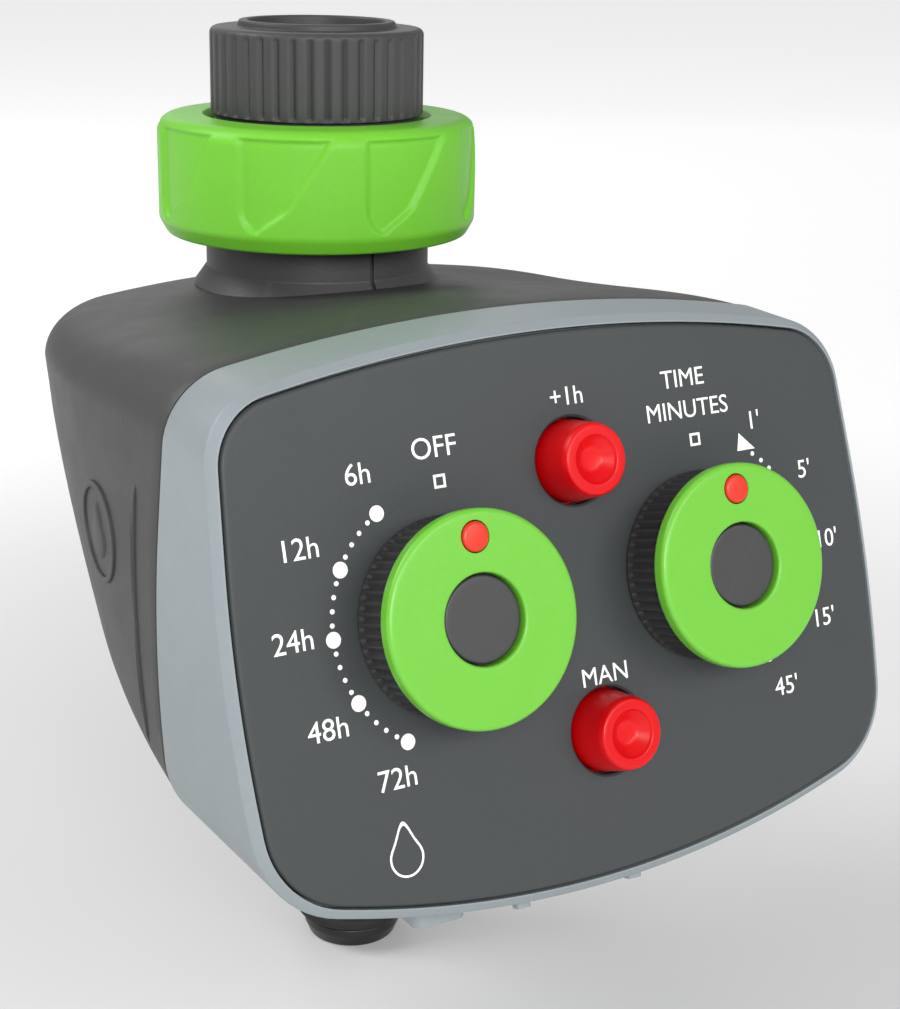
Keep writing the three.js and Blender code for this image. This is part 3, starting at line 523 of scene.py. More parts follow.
# Each plastic: name, sRGB colour, roughness, grain size, relief depth.
DARK = plastic("dark_plastic_grained", (56, 56, 56), 0.5, 0.5, 0.045, specular=0.35)
PANEL = plastic("panel_plastic_fine", (59, 62, 63), 0.46, 0.4, 0.03, variety=0.04, wear=0.0, specular=0.25)
LIGHT = plastic("light_grey_plastic", (126, 134, 137), 0.42, 0.3, 0.014, variety=0.03, wear=0.2)
GREEN = plastic("green_plastic_nut", (101, 176, 44), 0.42, 0.5, 0.01, variety=0.04, wear=0.12, specular=0.28)
RING = plastic("green_plastic_dial", (97, 172, 46), 0.36, 0.3, 0.008, variety=0.02, wear=0.0)
RED = plastic("red_plastic_gloss", (194, 2, 8), 0.34, 0.5, 0.005, variety=0.04, wear=0.1, specular=0.3)
POINTER = plastic("pointer_plastic", (196, 40, 16), 0.35, 0.3, 0.006, variety=0.03, wear=0.1)
KNOB = plastic("knob_plastic", (50, 50, 51), 0.45, 0.25, 0.012, variety=0.04, wear=0.3)
BLACK = plastic("black_plastic_outlet", (19, 19, 20), 0.36, 0.4, 0.01, variety=0.06, wear=0.2)
RUBBER = rubber("black_rubber_moulded", (22, 22, 23))
SILICONE = clear_rubber("smoky_silicone", (58, 60, 60))
BOARD = board("circuit_board_masked")
STEEL = metal("zinc_plated_steel", (186, 189, 193), 0.3)
BRASS = metal("turned_brass", (196, 156, 78), 0.32)
NYLON = plastic("natural_nylon_moulded", (226, 222, 206), 0.5, 0.5, 0.01, variety=0.04, wear=0.1)
WRAP = plastic("battery_wrap_film", (40, 88, 140), 0.3, 1.0, 0.004, variety=0.05, wear=0.1)
INK = ink("white_panel_ink", (244, 244, 244))


# ---------------------------------------------------------------- studio and camera
FOCAL_PIXELS = 1931.6
LONG_SIDE = 1009
SENSOR = 36.0
VIEW_TURN = math.radians(32.15)  # how far the camera stands to the left of straight ahead
VIEW_RISE = math.radians(17.75)
VIEW_ROLL = math.radians(1.10)
VIEW_DISTANCE = 323.0
VIEW_TARGET = np.array([0.0, 0.0, -77.3])
VIEW_SIDESTEP = 22.04
WHITE = (1.0, 1.0, 1.0, 1.0)
AIR_STRENGTH = 0.45
LIGHT_AIM = (0, -0.03, -0.075)
LIGHTS = {  # place and size in metres, and power
    "key_softbox": ((-0.5, -1.0, 0.42), (0.5, 0.4), 9.5),
    "front_softbox": ((0.25, -1.0, 0.42), (0.6, 0.35), 4.5),
    "left_softbox": ((-0.75, 0.45, 0.8), (0.6, 0.5), 9),
    "rear_softbox": ((0.3, 0.9, 0.4), (0.6, 0.5), 1),
}
FLOOR_PAINTED_SHADOW, FLOOR_PALE = 0.6, 0.88  # its tone in the painted shadow under the object, and away from it
FLOOR_PAINTED_SHADOW_REACH = (0.16, 0.42)  # metres over which the painted shadow fades into the pale tone
FLOOR_GLOW = (0.06, 0.42)  # its own light near the object and far away, so that it meets the bright air
FLOOR_GLOW_REACH = (0.25, 1.2)
FLOOR_HALF = 8000


def make_camera():
    back = np.array([
        -math.sin(VIEW_TURN) * math.cos(VIEW_RISE),
        -math.cos(VIEW_TURN) * math.cos(VIEW_RISE),
        math.sin(VIEW_RISE),
    ])
    right = np.array([math.cos(VIEW_TURN), -math.sin(VIEW_TURN), 0.0])
    up = np.cross(back, right)
    rolled_right = right * math.cos(VIEW_ROLL) + up * math.sin(VIEW_ROLL)
    rolled_up = up * math.cos(VIEW_ROLL) - right * math.sin(VIEW_ROLL)
    place = VIEW_TARGET + VIEW_SIDESTEP * right + VIEW_DISTANCE * back
    data = bpy.data.cameras.new("camera")
    data.sensor_width = SENSOR
    data.lens = FOCAL_PIXELS / LONG_SIDE * SENSOR
    data.clip_start, data.clip_end = 0.01, 50
    camera = bpy.data.objects.new("camera", data)
    turn = Matrix([rolled_right, rolled_up, back]).transposed().to_4x4()
    camera.matrix_world = Matrix.Translation(Vector(place * MM)) @ turn
    bpy.context.scene.collection.objects.link(camera)
    bpy.context.scene.camera = camera


def make_light(name, place, size, power):
    data = bpy.data.lights.new(name, "AREA")
    data.shape = "RECTANGLE"
    data.size, data.size_y = size
    data.energy = power
    light = bpy.data.objects.new(name, data)
    light.location = place
    direction = Vector(LIGHT_AIM) - Vector(place)
    light.rotation_euler = direction.to_track_quat("-Z", "Y").to_euler()
    bpy.context.scene.collection.objects.link(light)


def make_studio():
    scene = bpy.context.scene
    scene.view_settings.view_transform = "Standard"
    world = bpy.data.worlds.new("studio_air")
    world.use_nodes = True
    background = world.node_tree.nodes["Background"]
    background.inputs["Color"].default_value = WHITE
    background.inputs["Strength"].default_value = AIR_STRENGTH
    scene.world = world
    for name, (place, size, power) in LIGHTS.items():
        make_light(name, place, size, power)
    make_floor()


def make_floor():
    """A wide floor with a painted shadow: darker near the object, which also keeps the object's underside
    dark.
    """
    n = Nodes("pale_floor_painted_shadow")
    distance = n.new("ShaderNodeVectorMath")
    distance.operation = "LENGTH"
    n.join(n.place, distance.inputs[0])

    def by_distance(reach, **ends):
        node = n.new("ShaderNodeMapRange", From_Min=reach[0], From_Max=reach[1], **ends)
        n.join(distance.outputs["Value"], node.inputs["Value"])
        return node

    # painted shadow: the floor's colour is darker near the object and fades to pale further out
    reach = by_distance(FLOOR_PAINTED_SHADOW_REACH)
    reach.interpolation_type = "SMOOTHSTEP"
    painted_shadow, pale = (FLOOR_PAINTED_SHADOW,) * 3 + (1.0,), (FLOOR_PALE,) * 3 + (1.0,)
    tone_with_painted_shadow = n.mix(reach.outputs["Result"], painted_shadow, pale)
    tone_with_painted_shadow = n.mix(n.spread(n.noise(90, detail=3), 0.0, 0.04), tone_with_painted_shadow, WHITE)
    glow = by_distance(FLOOR_GLOW_REACH, To_Min=FLOOR_GLOW[0], To_Max=FLOOR_GLOW[1])
    n.join(glow.outputs["Result"], n.shader.inputs["Emission Strength"])
    n.shader.inputs["Emission Color"].default_value = WHITE
    n.join(tone_with_painted_shadow, n.shader.inputs["Base Color"])
    n.join(n.spread(n.noise(30), 0.6, 0.7), n.shader.inputs["Roughness"])
    corners = np.column_stack([square(FLOOR_HALF), np.full(4, CAD_LOW[2] / MM)])
    floor = mesh_object("floor", (corners, [(0, 1, 2, 3)]))
    floor.data.materials.append(n.material)


# ---------------------------------------------------------------- rear housing
MEDALLION = {"centre": np.array([-30.0, -65.5]), "radius": 7.3}  # centres are in Y and Z
SIDE_RIB = {"centre": np.array([-45.2, -73.0]), "length": 38, "width": 0.9}


def superellipse(along, power):
    return (1 - along ** power) ** (1 / power)


def housing_rings(inset, steps):
    """The housing's sections from its front flange to its blunt back end."""
    length = HOUSING_LENGTH - inset
    rings = []
    for i in range(steps):
        along = math.sin(math.pi / 2 * i / steps)
        share = min(1, along / 0.6)
        settle = share * share * (3 - 2 * share)
        rings.append(upright_ring(
            HOUSING_OFFSET - inset,
            HOUSING_FRONT + length * along,
            wide=superellipse(along, 3.3),
            up=(1 - 0.33 * settle) * superellipse(along, 4),
            down=superellipse(along, 1.95),
            taper=HOUSING_TAPER * along,
        ))
    return rings


def on_side(tree, side, section, outline, centre):
    """A [share, height] section swept round an outline in Y and Z, laid on the casing's side."""
    points = []
    for reach in outline:
        for share, height in section:
            y, z = centre + share * reach
            spot, normal, _, _ = tree.ray_cast(Vector((side * 100, y, z)), Vector((-side, 0, 0)))
            points.append(np.array(spot) + np.array(normal) * height)
    return grid(np.array(points).reshape(len(outline), len(section), 3))


def droplet(radius, count=64):
    """A drop's outline about the centre of its round end, its point up."""
    angles = np.linspace(0, TURN, count, endpoint=False)
    stretch = 1 + 0.9 * np.maximum(0, np.sin(angles)) ** 7
    return np.column_stack([np.cos(angles), np.sin(angles) * stretch]) * radius


def side_relief(outer, side):
    """A plain ring and drop, and a slim upright rib, raised on the casing's side."""
    tree = BVHTree.FromPolygons([tuple(p) for p in outer[0]], outer[1])
    rim = [[0.88, -0.5], [0.88, 0.3], [0.91, 0.4], [0.97, 0.4], [1, 0.3], [1, -0.5]]
    solid = [[0, -0.5], [0, 0.35], [0.8, 0.35], [0.92, 0.25], [1, 0], [1, -0.5]]
    half = SIDE_RIB["width"] / 2
    rib = dense(filleted(rectangle(half, SIDE_RIB["length"] / 2), [half * 0.95] * 4, 4), 2.0)
    drop_centre = MEDALLION["centre"] - np.array([0, 1.0])
    return [
        on_side(tree, side, rim, circle(MEDALLION["radius"]), MEDALLION["centre"]),
        on_side(tree, side, solid, droplet(2.9), drop_centre),
        on_side(tree, side, solid, rib, SIDE_RIB["centre"]),
    ]


def make_housing():
    outer = housing_rings(0, 48)
    inner = housing_rings(WALL, 30)
    rim = HOUSING_FRONT + 0.35
    front = [upright_ring(HOUSING_OFFSET - inset, y) for inset, y in (
        (WALL, rim), (WALL - 0.1, rim - 0.25), (WALL - 0.35, HOUSING_FRONT),
        (0.35, HOUSING_FRONT), (0.1, rim - 0.25), (0.0, rim))]
    rings = [*reversed(inner[1:]), *front, *outer[1:]]
    housing = mesh_object("housing_shell", stacked(rings))
    top = NUT_LOW[2] - 0.5
    neck = profile([
        [0, top], [NECK_RADIUS, top, 0.6], [NECK_RADIUS, -36.8, 0.6],
        [NECK_FLARE, -39.6, 0.3], [NECK_FLARE, -43], [0, -43],
    ])
    boss = profile([[0, -112], [BOSS_RADIUS, -112, 0.8], [BOSS_RADIUS, -88], [0, -88]])
    add(housing, turned(neck, 144), turned(boss, 96, centre=OUTLET[:2]))
    spigot_bore = profile([[0, -54], [SPIGOT_BORE, -54], [SPIGOT_BORE, -20], [0, -20]])
    boss_bore = profile([[0, -120], [BOSS_BORE, -120], [BOSS_BORE, -80], [0, -80]])
    groove = block((-0.35, -NECK_RADIUS - 3, -43), (0.35, -NECK_RADIUS + 0.6, top + 1))
    cut(housing, turned(spigot_bore, 96), turned(boss_bore, 96, centre=OUTLET[:2]), groove, crease=30)
    outside = grid(np.array(outer), around=False)
    for side in (-1, 1):
        merge(housing, mesh_object("relief", lump(*side_relief(outside, side))))
    dress(housing, DARK, "casing", "dark_plastic", "rear_housing")


def merge(obj, extra):
    """Moves another object's mesh into this one, without joining their surfaces."""
    work = bmesh.new()
    work.from_mesh(obj.data)
    work.from_mesh(extra.data)
    work.to_mesh(obj.data)
    work.free()
    bpy.data.objects.remove(extra)


# ---------------------------------------------------------------- bezel, drawer and panel
# u, v and w are places across, up and out of the panel, from the middle between the dials.
DRAWER = {"u0": -34.0, "u1": -10.0, "v1": 15.5, "w0": -28.2, "w1": -15.2}
TRAY_WALL = 1
CELL_BOTTOM = -30.0
BEZEL_FEET = (-13.0, 5.5)  # small moulded feet under the bezel's lower edge
FOOT_REACH = 1.2


def drawer_block(clearance, bottom, top):
    """The drawer's section between two heights, its rounded edges running up the panel."""
    low = (DRAWER["u0"] - clearance, DRAWER["w0"] - clearance, bottom)
    high = (DRAWER["u1"] + clearance, DRAWER["w1"] + clearance, top + clearance)
    return block(low, high, radius=1.2 + clearance, to_frame=stand_on_panel)


def bezel_bottom(u):
    """How far down the panel the bezel's lower edge lies at a place across it."""
    outline = rounded_outline(PANEL_CORNERS, BEZEL_OFFSET)
    lower = outline[outline[:, 1] < -20]
    return np.interp(u, *lower[np.argsort(lower[:, 0])].T)


def foot(u):
    bottom = bezel_bottom(u)
    low, high = (u - 1.1, -5.2, bottom - FOOT_REACH), (u + 1.1, -3.4, bottom + 2)
    return block(low, high, radius=0.5, to_frame=stand_on_panel)


def make_bezel():
    lip, ledge, opening = -0.1, -PANEL_THICKNESS - GAP, -1.8
    rings = [
        upright_ring(BEZEL_OFFSET, BEZEL_REAR),
        face_ring(BEZEL_OFFSET, -BEZEL_LIP_DEPTH),
        face_ring(0.5, lip),
        face_ring(GAP, lip),
        face_ring(GAP, ledge),
        face_ring(opening, ledge),
        face_ring(opening, ledge - 1.5),
        face_ring(BEZEL_OFFSET - WALL, ledge - 2.6),
        upright_ring(BEZEL_OFFSET - WALL, BEZEL_REAR),
    ]
    bezel = mesh_object("bezel_frame", framed(rings, [0.35, 0.5, 0.12, 0.05, 0, 0, 0, 0, 0.2]), crease=40)
    add(bezel, *[foot(u) for u in BEZEL_FEET], crease=40)
    cut(bezel, drawer_block(GAP, -60, DRAWER["v1"]), crease=40)
    dress(bezel, LIGHT, "casing", "light_plastic", "front_bezel")


def make_drawer():
    """The tray for the cells, the lid flush with the bezel's underside, and the finger tab."""
    outside = stacked([upright_ring(BEZEL_OFFSET, BEZEL_REAR), face_ring(BEZEL_OFFSET, -BEZEL_LIP_DEPTH)])
    drawer = mesh_object("battery_tray", drawer_block(0, -60, CELL_BOTTOM - 1))
    combined(drawer, [outside], "INTERSECT")
    add(drawer, drawer_block(0, CELL_BOTTOM - 1.6, DRAWER["v1"]))
    hollow_low = (DRAWER["u0"] + TRAY_WALL, CELL_BOTTOM - 0.6, DRAWER["w0"] + TRAY_WALL)
    hollow_high = (DRAWER["u1"] - TRAY_WALL, DRAWER["v1"] + 1, DRAWER["w1"] + 5)
    cut(drawer, block(hollow_low, hollow_high, to_frame=on_panel))
    bottom = span("battery_drawer")[0][2]
    tab = block((-27.5, -79, bottom), (-19.5, -66, bottom + 2.8), radius=1.6, steps=5)
    stem = block((-26.9, -69.2, -109), (-20.1, -66.4, -105.5))  # from the lid down to the tab
    add(drawer, tab, stem)
    soften(drawer, 0.25)
    dress(drawer, LIGHT, "drawer", "light_plastic", "battery_drawer")


BUTTONS = {"delay": "delay_push", "manual": "manual_push"}  # and the bodies they move with
BUTTON_HOLE = 6.0
SHAFT_HOLE = 4.5
HOLE_FLARE = 0.35


def make_panel():
    edge = 0.55
    rings = [face_ring(0, -PANEL_THICKNESS), face_ring(0, -edge)]
    for k in range(1, 6):
        angle = k / 5 * math.pi / 2
        rings.append(face_ring(-edge * (1 - math.cos(angle)), -edge * (1 - math.sin(angle))))
    rings.append(face_ring(-edge - 0.4, 0))
    panel = mesh_object("face_panel", stacked(rings), crease=30)
    holes = []
    for name in DIALS:
        centre = DIALS[name] - FACE_CENTRE
        holes.append(((centre @ RIGHT, centre @ UP), SHAFT_HOLE))
    for name in BUTTONS:
        holes.append((panel_place(f"{name}_button")[:2], BUTTON_HOLE))
    for (u, v), radius in holes:
        flare = radius + HOLE_FLARE
        bore = profile([[0, -4], [radius, -4], [radius, -0.3], [flare, 0.05], [flare, 1], [0, 1]])
        place = np.array([u, v, 0])
        cut(panel, moved(turned(bore, 64), lambda points, place=place: on_panel(points + place)), crease=30)
    dress(panel, PANEL, "casing", "panel_plastic", "control_panel")


# ---------------------------------------------------------------- printing on the panel
# Where each word sits, across and up from its dial's axis.
FREQUENCY_WORDS = {
    "OFF": (1.5, 22.0), "6h": (-10.1, 20.1), "12h": (-19.4, 12.0),
    "24h": (-22.2, 0.8), "48h": (-19.1, -10.9), "72h": (-10.3, -19.0),
}
DURATION_WORDS = {
    "1'": (12.7, 19.0), "5'": (20.7, 10.8), "10'": (23.6, 0.2), "15'": (21.3, -11.1), "45'": (12.5, -19.6),
}
# The same from the middle between the dials.
OTHER_WORDS = {"TIME": (21.8, 26.3), "MINUTES": (22.1, 21.9), "+1h": (2.0, 26.1), "MAN": (2.4, -12.0)}
INK_BASE, INK_TOP = 0.0, 0.04
CAPITAL = 0.73  # a capital's height in the built-in font, whose size is 1
MARK_RADIUS = 17.0
DIAL_STEP = math.radians(30)
SQUARE_SHIFT, FREQUENCY_SHIFT, DURATION_SHIFT = 1.7, 0.4, 1.3  # how far the marks stand right of the axes
STEP_DOTS = 4  # small dots between two marks
DOT_RADIUS = 0.33
MARKS = 5


def lettering(text, u, v, height):
    """A word as a shape, its capitals height tall, centred at a place on the panel."""
    curve = bpy.data.curves.new("word", "FONT")
    curve.body = text
    curve.align_x = "CENTER"
    curve.extrude = 0.5
    curve.resolution_u = 4
    word = bpy.data.objects.new("word", curve)
    bpy.context.scene.collection.objects.link(word)
    mesh = bpy.data.meshes.new_from_object(word.evaluated_get(bpy.context.evaluated_depsgraph_get()))
    points = np.array([vertex.co for vertex in mesh.vertices])
    faces = [tuple(face.vertices) for face in mesh.polygons]
    bpy.data.objects.remove(word)
    middle = (points.min(0) + points.max(0)) / 2
    points = (points - middle) * height / CAPITAL
    points[:, 2] = np.where(points[:, 2] > 0, INK_TOP, INK_BASE)
    return on_panel(points + np.array([u, v, 0])), faces


def ink_ring(u, v, outline, w):
    return np.column_stack([outline + np.array([u, v]), np.full(len(outline), w)])


def spot(u, v, outline):
    """A flat printed shape."""
    return moved(stacked([ink_ring(u, v, outline, w) for w in (INK_BASE, INK_TOP)]), on_panel)


def printed_frame(u, v, outline, width):
    """A printed outline of a given width, from an outline round its own centre."""
    inner = 1 - width / np.abs(outline).max()
    edges = ((1, INK_BASE), (1, INK_TOP), (inner, INK_TOP), (inner, INK_BASE))
    rings = [ink_ring(u, v, outline * share, w) for share, w in edges]
    return moved(grid(np.swapaxes(np.array(rings), 0, 1)), on_panel)


def polar(centre, turn, radius):
    """A place at an angle from straight up, positive to the right."""
    return centre + radius * math.sin(turn), radius * math.cos(turn)


def dotted_arc(centre, side, radius):
    """The small dots between a dial's marks. Side is -1 to the left and 1 to the right."""
    shapes = []
    for k in range((MARKS - 1) * (STEP_DOTS + 1)):
        if k % (STEP_DOTS + 1):
            u, v = polar(centre, side * (1 + k / (STEP_DOTS + 1)) * DIAL_STEP, radius)
            shapes.append(spot(u, v, circle(DOT_RADIUS, 16)))
    return shapes


def make_printing():
    left = (DIALS["frequency"] - FACE_CENTRE) @ RIGHT
    right = (DIALS["duration"] - FACE_CENTRE) @ RIGHT
    shapes = []
    for centre in (left, right):
        shapes.append(printed_frame(centre + SQUARE_SHIFT, MARK_RADIUS + 0.5, square(0.9), 0.35))
    groups = ((left, FREQUENCY_WORDS, 2.9), (right, DURATION_WORDS, 2.7), (0, OTHER_WORDS, 2.6))
    for centre, words, height in groups:
        for text, (u, v) in words.items():
            shapes.append(lettering(text, centre + u, v, height))
    left, right = left + FREQUENCY_SHIFT, right + DURATION_SHIFT
    for step in range(1, MARKS + 1):
        shapes.append(spot(*polar(left, -step * DIAL_STEP, MARK_RADIUS), circle(1.05, 32)))
        if step > 1:
            shapes.append(spot(*polar(right, step * DIAL_STEP, MARK_RADIUS + 0.4), circle(0.7, 24)))
    shapes += dotted_arc(left, -1, MARK_RADIUS)
    shapes += dotted_arc(right, 1, MARK_RADIUS + 0.5)
    u, v = polar(right, DIAL_STEP, MARK_RADIUS + 1.3)
    shapes.append(spot(u, v, np.array([[-1.5, -1.0], [1.7, -1.0], [-0.9, 1.5]])))
    shapes.append(printed_frame(-31.5, -29.3, droplet(2.5, 96), 0.55))
    printing = mesh_object("panel_printing", lump(*shapes))
    dress(printing, INK, "casing", None)


# ---------------------------------------------------------------- dials and buttons
KNURLS, KNURL_DEPTH = 60, 0.55
KNOB_RADIUS = 13.3
RING_RADIUS = 14.0
RING_LOW, RING_HIGH = 7.6, 9.8
HUB_RADIUS = 5.9
POINTER_OFFSET, POINTER_RADIUS = 10.5, 1.95


def smooth(value):
    value = np.clip(value, 0, 1)
    return value * value * (3 - 2 * value)


def make_dial(name):
    origin = DIALS[name]
    body = f"{name}_dial"

    def place(points):
        return on_panel(points, origin)

    def knurls(angle, radius, z):
        wave = 0.5 - 0.5 * np.cos(angle * KNURLS)
        fade = smooth((z - 0.7) / 0.8) * smooth((RING_LOW - GAP - 0.2 - z) / 0.5)
        return np.where(radius > 12, -KNURL_DEPTH * wave * fade, 0)

    knob = profile([
        [0, 5.9], [3, 5.9], [3, -3.9], [4, -3.9, 0.2], [4, 0.5], [KNOB_RADIUS, 0.5, 0.4],
        [KNOB_RADIUS, RING_LOW - GAP, 0.3], [HUB_RADIUS - GAP, RING_LOW - GAP],
        [HUB_RADIUS - GAP, RING_HIGH - 0.7, 0.35], [0, RING_HIGH - 0.7],
    ])
    shape = turned(dense(knob, 0.5), KNURLS * 8, knurls)
    dress(mesh_object(f"{name}_grip", moved(shape, place)), KNOB, body, "dark_plastic", f"{name}_knob")

    ring = profile([
        [HUB_RADIUS, RING_LOW, 0.2], [RING_RADIUS, RING_LOW, 0.4],
        [RING_RADIUS, RING_HIGH, 0.75], [HUB_RADIUS, RING_HIGH, 0.4],
    ], 7)
    band = mesh_object(f"{name}_band", moved(turned(dense(ring, 0.5), 160), place), crease=50)
    hole = turned(profile([[0, 6], [2.1, 6], [2.1, 12], [0, 12]]), 48, centre=(0, POINTER_OFFSET))
    cut(band, moved(hole, place), crease=50)
    dress(band, RING, body, "green_plastic", f"{name}_ring")

    pin = profile([
        [0, RING_LOW + 0.1], [POINTER_RADIUS, RING_LOW + 0.1],
        [POINTER_RADIUS, RING_HIGH + 0.4, 0.5], [0, RING_HIGH + 0.45],
    ], 7)
    shape = moved(turned(pin, 48, centre=(0, POINTER_OFFSET)), place)
    dress(mesh_object(f"{name}_marker", shape), POINTER, body, "red_plastic", f"{name}_pointer")


def make_button(name, body):
    origin = on_panel([*panel_place(f"{name}_button")[:2], 0])
    top = 5.5
    cap = profile([
        [0, top - 1.7], [1.6, top - 1.6, 1.2], [3.1, top - 0.35, 0.5], [3.35, top, 0.3],
        [4.7, top, 0.5], [5.0, top - 0.9, 1.0], [5.55, 0], [5.55, -3.6],
        [7, -3.6, 0.2], [7, -4.5, 0.2], [0, -4.5],
    ], 7)
    shape = moved(turned(cap, 96), lambda points: on_panel(points, origin))
    dress(mesh_object(f"{name}_cap", shape), RED, body, "red_plastic", f"{name}_button")


# ---------------------------------------------------------------- inlet
G1_PITCH = 2.309
TAP_PITCH = 1.814
NUT_BORE = 16.9
SOCKET_RADIUS = 10.5  # in the adapter, where the tap screws in
FIN_COUNT = 8
FIN_START = math.radians(-101.65)  # the upright edge of the fin at the front
FIN_DEPTH = 0.7
ADAPTER_RIBS = 40
ADAPTER_RISE = (0.1, 1.1)  # how far its shoulder and lip stand above the CAD's, as in the photo


def thread(angle, z, pitch):
    """0 at a thread's root and 1 at its crest, right handed, turned about Z."""
    phase = (z / pitch - angle / TURN) % 1
    return np.clip(0.5 + 1.15 * np.cos(phase * TURN), 0, 1)


def fin_hollow(angle, z):
    """How far the fin-shaped grips sink into the nut: an upright edge and one that leans away upwards."""
    top, bottom = NUT_HIGH[2] - 1.4, NUT_LOW[2] + 2.9
    fall = np.clip((top - z) / (top - bottom), 0, 1)
    across = np.degrees(angle - FIN_START) % (360 / FIN_COUNT)
    tuck = np.clip((fall - 0.7) / 0.3, 0, 1)
    upright = 8 * (1 - np.sqrt(1 - tuck ** 2))
    leaning = 34.5 - 21 * fall - 5.5 * smooth((fall - 0.72) / 0.28)
    arc = math.radians(1) * NUT_HIGH[0]
    inside = np.minimum(across - upright, leaning - across) * arc
    inside = np.minimum(inside, top - z + 0.3)
    inside = np.where((z < bottom) | (z > top + 0.3), -1, inside)
    return FIN_DEPTH * smooth(inside / 0.9)


def make_nut():
    low, high, radius = NUT_LOW[2], NUT_HIGH[2], NUT_HIGH[0]
    section = dense(profile([
        [13, low, 0.3], [radius - 1.3, low, 0.8], [radius, low + 2.3, 2.2], [radius, high - 0.2, 2.6],
        [17.9, high, 0.5], [17.2, high - 0.9, 0.3], [NUT_BORE, high - 1.5], [NUT_BORE, -26.5],
        [13, -26.5, 0.2],
    ], 8), 0.3)

    def relief(angle, distance, z):
        outside = -fin_hollow(angle, z) * smooth(distance - 22.5)
        fade = smooth((high - 1.5 - z) / 1.5) * smooth((z + 26) / 1.5)
        inside = np.abs(distance - NUT_BORE) < 0.05
        return outside + np.where(inside, 0.9 * (1 - thread(angle, z, G1_PITCH)) * fade, 0)

    nut = mesh_object("union_nut_cap", turned(section, 384, relief), crease=60)
    dress(nut, GREEN, "union_nut", "green_plastic", "inlet_nut")


def make_adapter():
    low, high = ADAPTER_LOW[2], ADAPTER_HIGH[2]
    collar = NUT_HIGH[2]
    shoulder, lip = (high + rise for rise in ADAPTER_RISE)
    section = dense(profile([
        [6, low, 0.3], [15.7, low, 0.8], [16.5, low + 1.4], [16.5, collar - 1.4, 0.1],
        [15.9, collar - 0.7, 0.1], [15.9, collar, 0.1], [16.6, collar + 0.2, 0.2], [16.6, shoulder, 1.0],
        [12.3, shoulder, 0.3], [12.1, lip, 0.4], [10.7, lip, 0.4],
        [SOCKET_RADIUS, high - 0.6], [SOCKET_RADIUS, -17.6], [6, -17.6],
    ], 6), 0.3)

    def relief(angle, distance, z):
        rib = smooth(1.1 + 0.9 * np.cos(angle * ADAPTER_RIBS))
        on_collar = (distance > 15.5) & (z > collar + 0.1)
        fade = smooth((z - collar - 0.2) / 0.6) * smooth((shoulder - 0.5 - z) / 0.8)
        ribs = np.where(on_collar, -0.6 * (1 - rib) * fade, 0)
        on_screw = (distance > 16.3) & (z < collar - 1.2)
        screw_fade = smooth((z - low - 1.2) / 1.2)
        screw = np.where(on_screw, -0.8 * (1 - thread(angle, z, G1_PITCH)) * screw_fade, 0)
        in_socket = np.abs(distance - SOCKET_RADIUS) < 0.05
        socket_fade = smooth((high - 1.6 - z) / 1.5) * smooth((z + 15) / 1.5)
        socket = np.where(in_socket, 0.75 * (1 - thread(angle, z, TAP_PITCH)) * socket_fade, 0)
        return ribs + screw + socket

    adapter = mesh_object("ribbed_adapter", turned(section, ADAPTER_RIBS * 8, relief), crease=50)
    dress(adapter, DARK, "adapter", "dark_plastic", "tap_adapter")


TURNED_PIECES = {
    "socket_seal": (
        [[6, -17.3, 0.3], [10.2, -17.3, 0.3], [10.2, -15, 0.5], [6, -15, 0.5]],
        RUBBER, "adapter_washer", "black_rubber", "adapter_seal"),
    "flange_washer": (
        [[11.2, -23.9, 0.4], [15.8, -23.9, 0.4], [15.8, -21.9, 0.4], [11.2, -21.9, 0.4]],
        RUBBER, "casing", "black_rubber", "inlet_washer"),
}


def make_turned_pieces():
    for name, (corners, material, body, slot, node) in TURNED_PIECES.items():
        dress(mesh_object(name, turned(profile(corners), 96)), material, body, slot, node)


def make_filter():
    """A cup of nylon mesh under a flange."""
    section = dense(profile([
        [0, -41], [5.5, -41, 0.4], [7.6, -25.6], [10.4, -25.6, 0.2],
        [10.4, -24.8, 0.2], [6.9, -24.8, 0.2], [4.9, -40.2], [0, -40.2],
    ]), 0.2)

    def weave(angle, distance, z):
        bars = np.cos(angle * 36) * np.cos(z * TURN / 0.9)
        wall = smooth((-26.2 - z) / 0.5) * smooth((z + 40) / 0.5)
        return np.where(distance > 5, 0.12 * bars * wall, 0)

    cup = mesh_object("filter_cup", turned(section, 144, weave), crease=60)
    dress(cup, NYLON, "casing", "natural_nylon", "inlet_filter")


# ---------------------------------------------------------------- outlet
O_RING = (8.35, 1.15)  # the radius of its ring and of its tube


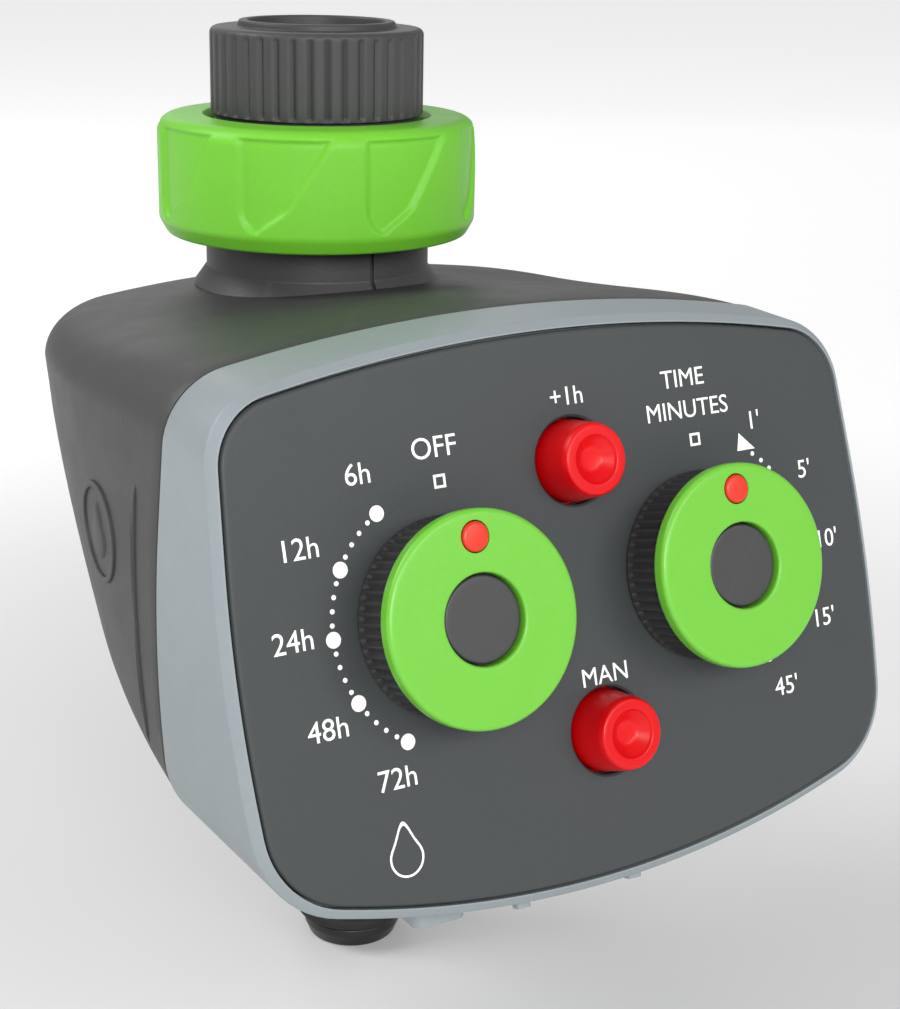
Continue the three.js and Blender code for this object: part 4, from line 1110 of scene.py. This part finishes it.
def make_outlet():
    centre, end = OUTLET[:2], NIPPLE_LOW[2]
    ring_z = end + 5
    section = dense(profile([
        [5.5, -104], [7.2, -104, 0.5], [7.2, -112.2], [12.6, -112.2],
        [13.2, -112.9, 0.4], [13.2, -118.7, 0.8], [10.8, -119.4, 0.5], [10.8, -122.7, 0.8],
        [7.6, -124.4, 1.0], [7.6, -129.2, 0.8], [8.5, -131, 1.2], [8.5, ring_z + 1.5, 0.3],
        [6.9, ring_z + 1.5, 0.2], [6.9, ring_z - 1.5, 0.2], [8.2, ring_z - 1.5, 0.3], [8.2, end + 2.2, 0.8],
        [7.3, end, 0.5], [5.5, end, 0.3],
    ], 5), 0.4)

    def relief(angle, distance, z):
        on_collar = (distance > 12.9) & (z < -113.2) & (z > -118.6)
        grips = np.where(on_collar, -0.4 * smooth(0.5 - np.cos(angle * 24)), 0)
        on_screw = (np.abs(distance - 7.2) < 0.1) & (z > -112)
        screw = np.where(on_screw, -0.6 * (1 - thread(angle, z, TAP_PITCH)) * smooth(z + 112), 0)
        return grips + screw

    nipple = mesh_object("outlet_spout", turned(section, 168, relief, centre), crease=50)
    dress(nipple, BLACK, "casing", "dark_plastic", "outlet_nipple")
    angles = np.linspace(0, TURN, 24, endpoint=False)
    tube = np.column_stack([O_RING[0] + O_RING[1] * np.cos(angles), ring_z + O_RING[1] * np.sin(angles)])
    o_ring = mesh_object("outlet_ring_seal", turned(tube, 128, centre=centre))
    dress(o_ring, RUBBER, "casing", "black_rubber", "outlet_o_ring")


# ---------------------------------------------------------------- battery cells
CELL_RADIUS = 5.2
CELL_LENGTH = 44.0


def make_cells():
    """Each cell is a wrapped can, with bare metal ends and a small contact on its upper one."""
    half = CELL_LENGTH / 2
    can = profile([
        [0, -half + 0.25], [3.9, -half + 0.25], [4.0, -half + 0.05, 0.1], [CELL_RADIUS, -half, 0.5],
        [CELL_RADIUS, half - 1.0, 0.5], [3.4, half - 1.0, 0.2], [3.3, half - 1.2], [0, half - 1.2],
    ])
    contact = profile([
        [0, half - 1.4], [3.2, half - 1.4], [3.2, half - 1.0, 0.2], [1.9, half - 0.9, 0.2],
        [1.9, half, 0.3], [0, half],
    ])
    base = profile([[0, 0.3 - half], [3.8, 0.3 - half], [3.8, 0.05 - half, 0.1], [0, -half]])
    ends = lump(turned(contact, 48), turned(base, 48))
    for name in ("battery_1", "battery_2"):
        middle = panel_place(name)

        def place(points, middle=middle):
            u, v, w = middle
            return on_panel(np.column_stack([points[:, 0] + u, points[:, 2] + v, w - points[:, 1]]))

        can_object = mesh_object(f"{name}_can", moved(turned(can, 64), place))
        dress(can_object, WRAP, "drawer", "battery_wrap", name)
        dress(mesh_object(f"{name}_ends", moved(ends, place)), STEEL, "drawer", "steel")


# ---------------------------------------------------------------- CAD pieces that stay, with real finishes
KEPT_MATERIALS = {
    DARK: ["battery_sleeve", "valve_body_upper", "valve_body_lower", "gearbox_cover"],
    RUBBER: ["housing_gasket", "stem_o_ring"],
    STEEL: [
        "housing_screw_left_upper", "housing_screw_right_upper", "housing_screw_left_lower",
        "housing_screw_right_lower", "frequency_potentiometer", "duration_potentiometer", "delay_switch",
        "manual_switch", "valve_screw_1", "valve_screw_2", "valve_stem", "idler_pin", "drive_motor",
        "gearbox_plate",
    ],
    SILICONE: ["silicone_membrane"],
    BOARD: ["circuit_board"],
    BRASS: ["frequency_shaft", "duration_shaft", "valve_ball", "motor_pinion"],
    NYLON: ["upper_seat", "lower_seat", "output_gear", "idler_gear"],
}


def dress_kept_nodes():
    for material, names in KEPT_MATERIALS.items():
        for name in names:
            node = frame["nodes"][name]
            for material_slot in node.material_slots:
                material_slot.material = material


make_camera()
make_studio()
make_housing()
make_bezel()
make_drawer()
make_panel()
make_printing()
for dial in DIALS:
    make_dial(dial)
for button, its_body in BUTTONS.items():
    make_button(button, its_body)
make_nut()
make_adapter()
make_turned_pieces()
make_filter()
make_outlet()
make_cells()
dress_kept_nodes()
